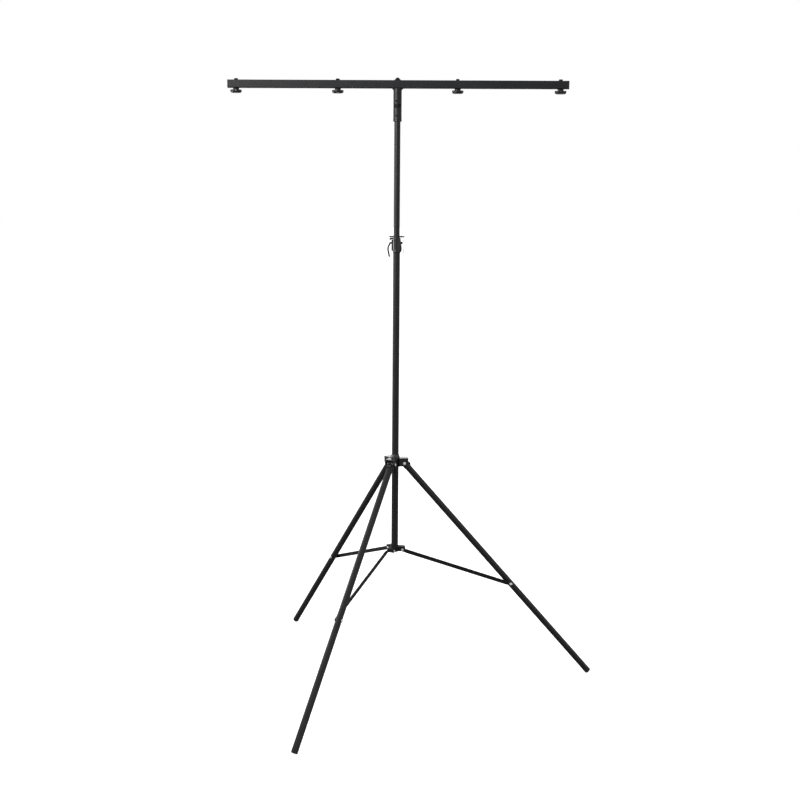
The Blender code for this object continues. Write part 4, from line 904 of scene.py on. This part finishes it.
knob_profile = fillet([
    (0, KNOB_LOW + 2.9 * MM), (4.15 * MM, KNOB_LOW + 2.9 * MM), (4.15 * MM, KNOB_TOP), (11.5 * MM, KNOB_TOP), (12.2 * MM, KNOB_TOP - 0.8 * MM),
    (10.8 * MM, KNOB_DISC + 0.6 * MM), (14.0 * MM, KNOB_DISC - 0.4 * MM), (21.6 * MM, KNOB_DISC), (22.7 * MM, KNOB_DISC - 1.2 * MM),
    (22.3 * MM, KNOB_LOW + 5.5 * MM), (20.0 * MM, KNOB_LOW + 1.0 * MM), (17.0 * MM, KNOB_LOW), (14.5 * MM, KNOB_LOW), (13.2 * MM, KNOB_LOW + 1.3 * MM),
    (8.6 * MM, KNOB_LOW + 1.5 * MM), (7.6 * MM, KNOB_LOW + 0.3 * MM), (0, KNOB_LOW + 0.3 * MM),
], [0, 0, 0.3 * MM, 0.6 * MM, 0.5 * MM, 2.2 * MM, 2 * MM, 0.8 * MM, 0.8 * MM, 4 * MM, 4 * MM, 1.5 * MM, 0.6 * MM, 0.8 * MM, 0.6 * MM, 0.5 * MM, 0], 5, closed=False)
knob = lathe(knob_profile, 168, shape=lobes(7, 12.0 * MM, 22.0 * MM, 0.11))
for i, x in enumerate(LAMP_X, 1):
    piece(f"hex_bolt_{i}", lamp_bolt, "t_head", BLACKENED, f"lamp_bolt_{i}", at(x) @ turned(0.35 * i), angle=30)
    piece(f"star_knob_{i}", knob, f"lamp_knob_{i}", KNOB, f"lamp_knob_{i}", at(x) @ turned(0.6 * i), angle=50)

# ------------------------------------------------------------ floor and lights
bm = bmesh.new()
bmesh.ops.create_grid(bm, x_segments=1, y_segments=1, size=60.0)
floor = hold(finished(bm, "floor"), "floor")
f = Finish("pale_floor", 0.9)
f.colour(f.ramp(f.noise(2.0, 2.0), (0.3, 0.90), (0.7, 0.92)))
f.shader.inputs["Specular IOR Level"].default_value = 0.1
f.shader.inputs["Emission Color"].default_value = (1.0, 1.0, 1.0, 1.0)
f.shader.inputs["Emission Strength"].default_value = FLOOR_GLOW
floor.data.materials.append(f.material)
floor.location.z = -0.0005
floor.visible_diffuse = floor.visible_glossy = False

# the studio is a dim room with a narrow bright sheet behind the stand, a fill high up in front, and darker towards the floor
world = bpy.data.worlds.new("studio")
bpy.context.scene.world = world
world.use_nodes = True
studio = world.node_tree
background = studio.nodes["Background"]
background.inputs["Color"].default_value = (1.0, 1.0, 1.0, 1.0)
direction = studio.nodes.new("ShaderNodeSeparateXYZ")
studio.links.new(studio.nodes.new("ShaderNodeTexCoord").outputs["Generated"], direction.inputs["Vector"])


def graded(value, low, high, dim, bright):
    node = studio.nodes.new("ShaderNodeMapRange")
    node.interpolation_type = "SMOOTHSTEP"
    for name, number in (("From Min", low), ("From Max", high), ("To Min", dim), ("To Max", bright)):
        node.inputs[name].default_value = number
    studio.links.new(value, node.inputs["Value"])
    return node.outputs["Result"]


def combined(operation, a, b=None, c=None):
    node = studio.nodes.new("ShaderNodeMath")
    node.operation = operation
    for socket, value in zip(node.inputs, (a, b, c)):
        if value is None:
            continue
        if isinstance(value, (int, float)):
            socket.default_value = value
        else:
            studio.links.new(value, socket)
    return node.outputs["Value"]


sheet = combined("MULTIPLY", graded(direction.outputs["Y"], 0.92, 0.985, 0.0, SHEET), graded(direction.outputs["Z"], -0.24, 0.0, 0.1, 1.0))
sideways = combined("ABSOLUTE", direction.outputs["X"])
room = combined("MULTIPLY", graded(sideways, 0.1, 0.8, ROOM * 0.75, ROOM * 1.3), graded(direction.outputs["Z"], -0.30, 0.0, 0.4, 1.0))
front = combined("MULTIPLY", graded(direction.outputs["Y"], -0.8, -0.2, FRONT, 0.0), graded(direction.outputs["Z"], 0.10, 0.45, 0.0, 1.0))
level = combined("ADD", combined("ADD", sheet, room), front)
seen = studio.nodes.new("ShaderNodeLightPath").outputs["Is Camera Ray"]
studio.links.new(combined("ADD", combined("MULTIPLY", level, combined("SUBTRACT", 1.0, seen)), seen), background.inputs["Strength"])
bpy.context.scene.view_settings.view_transform = "Standard"


def softbox(name, place, target, size, power, grid=180):
    light = bpy.data.lights.new(name, "AREA")
    light.shape = "RECTANGLE"
    light.size, light.size_y = size
    light.energy = power
    light.spread = math.radians(grid)
    obj = bpy.data.objects.new(name, light)
    bpy.context.scene.collection.objects.link(obj)
    obj.location = place
    obj.visible_camera = False
    obj.rotation_euler = (Vector(target) - Vector(place)).to_track_quat("-Z", "Y").to_euler()
    return obj


softbox("key", (-2.1, -1.9, 2.9), (-0.5, 0, 2.3), (1.9, 1.4), 22, grid=80)
softbox("side", (-2.1, 0.6, 1.45), (0, 0.6, 1.45), (1.2, 0.6), 15)
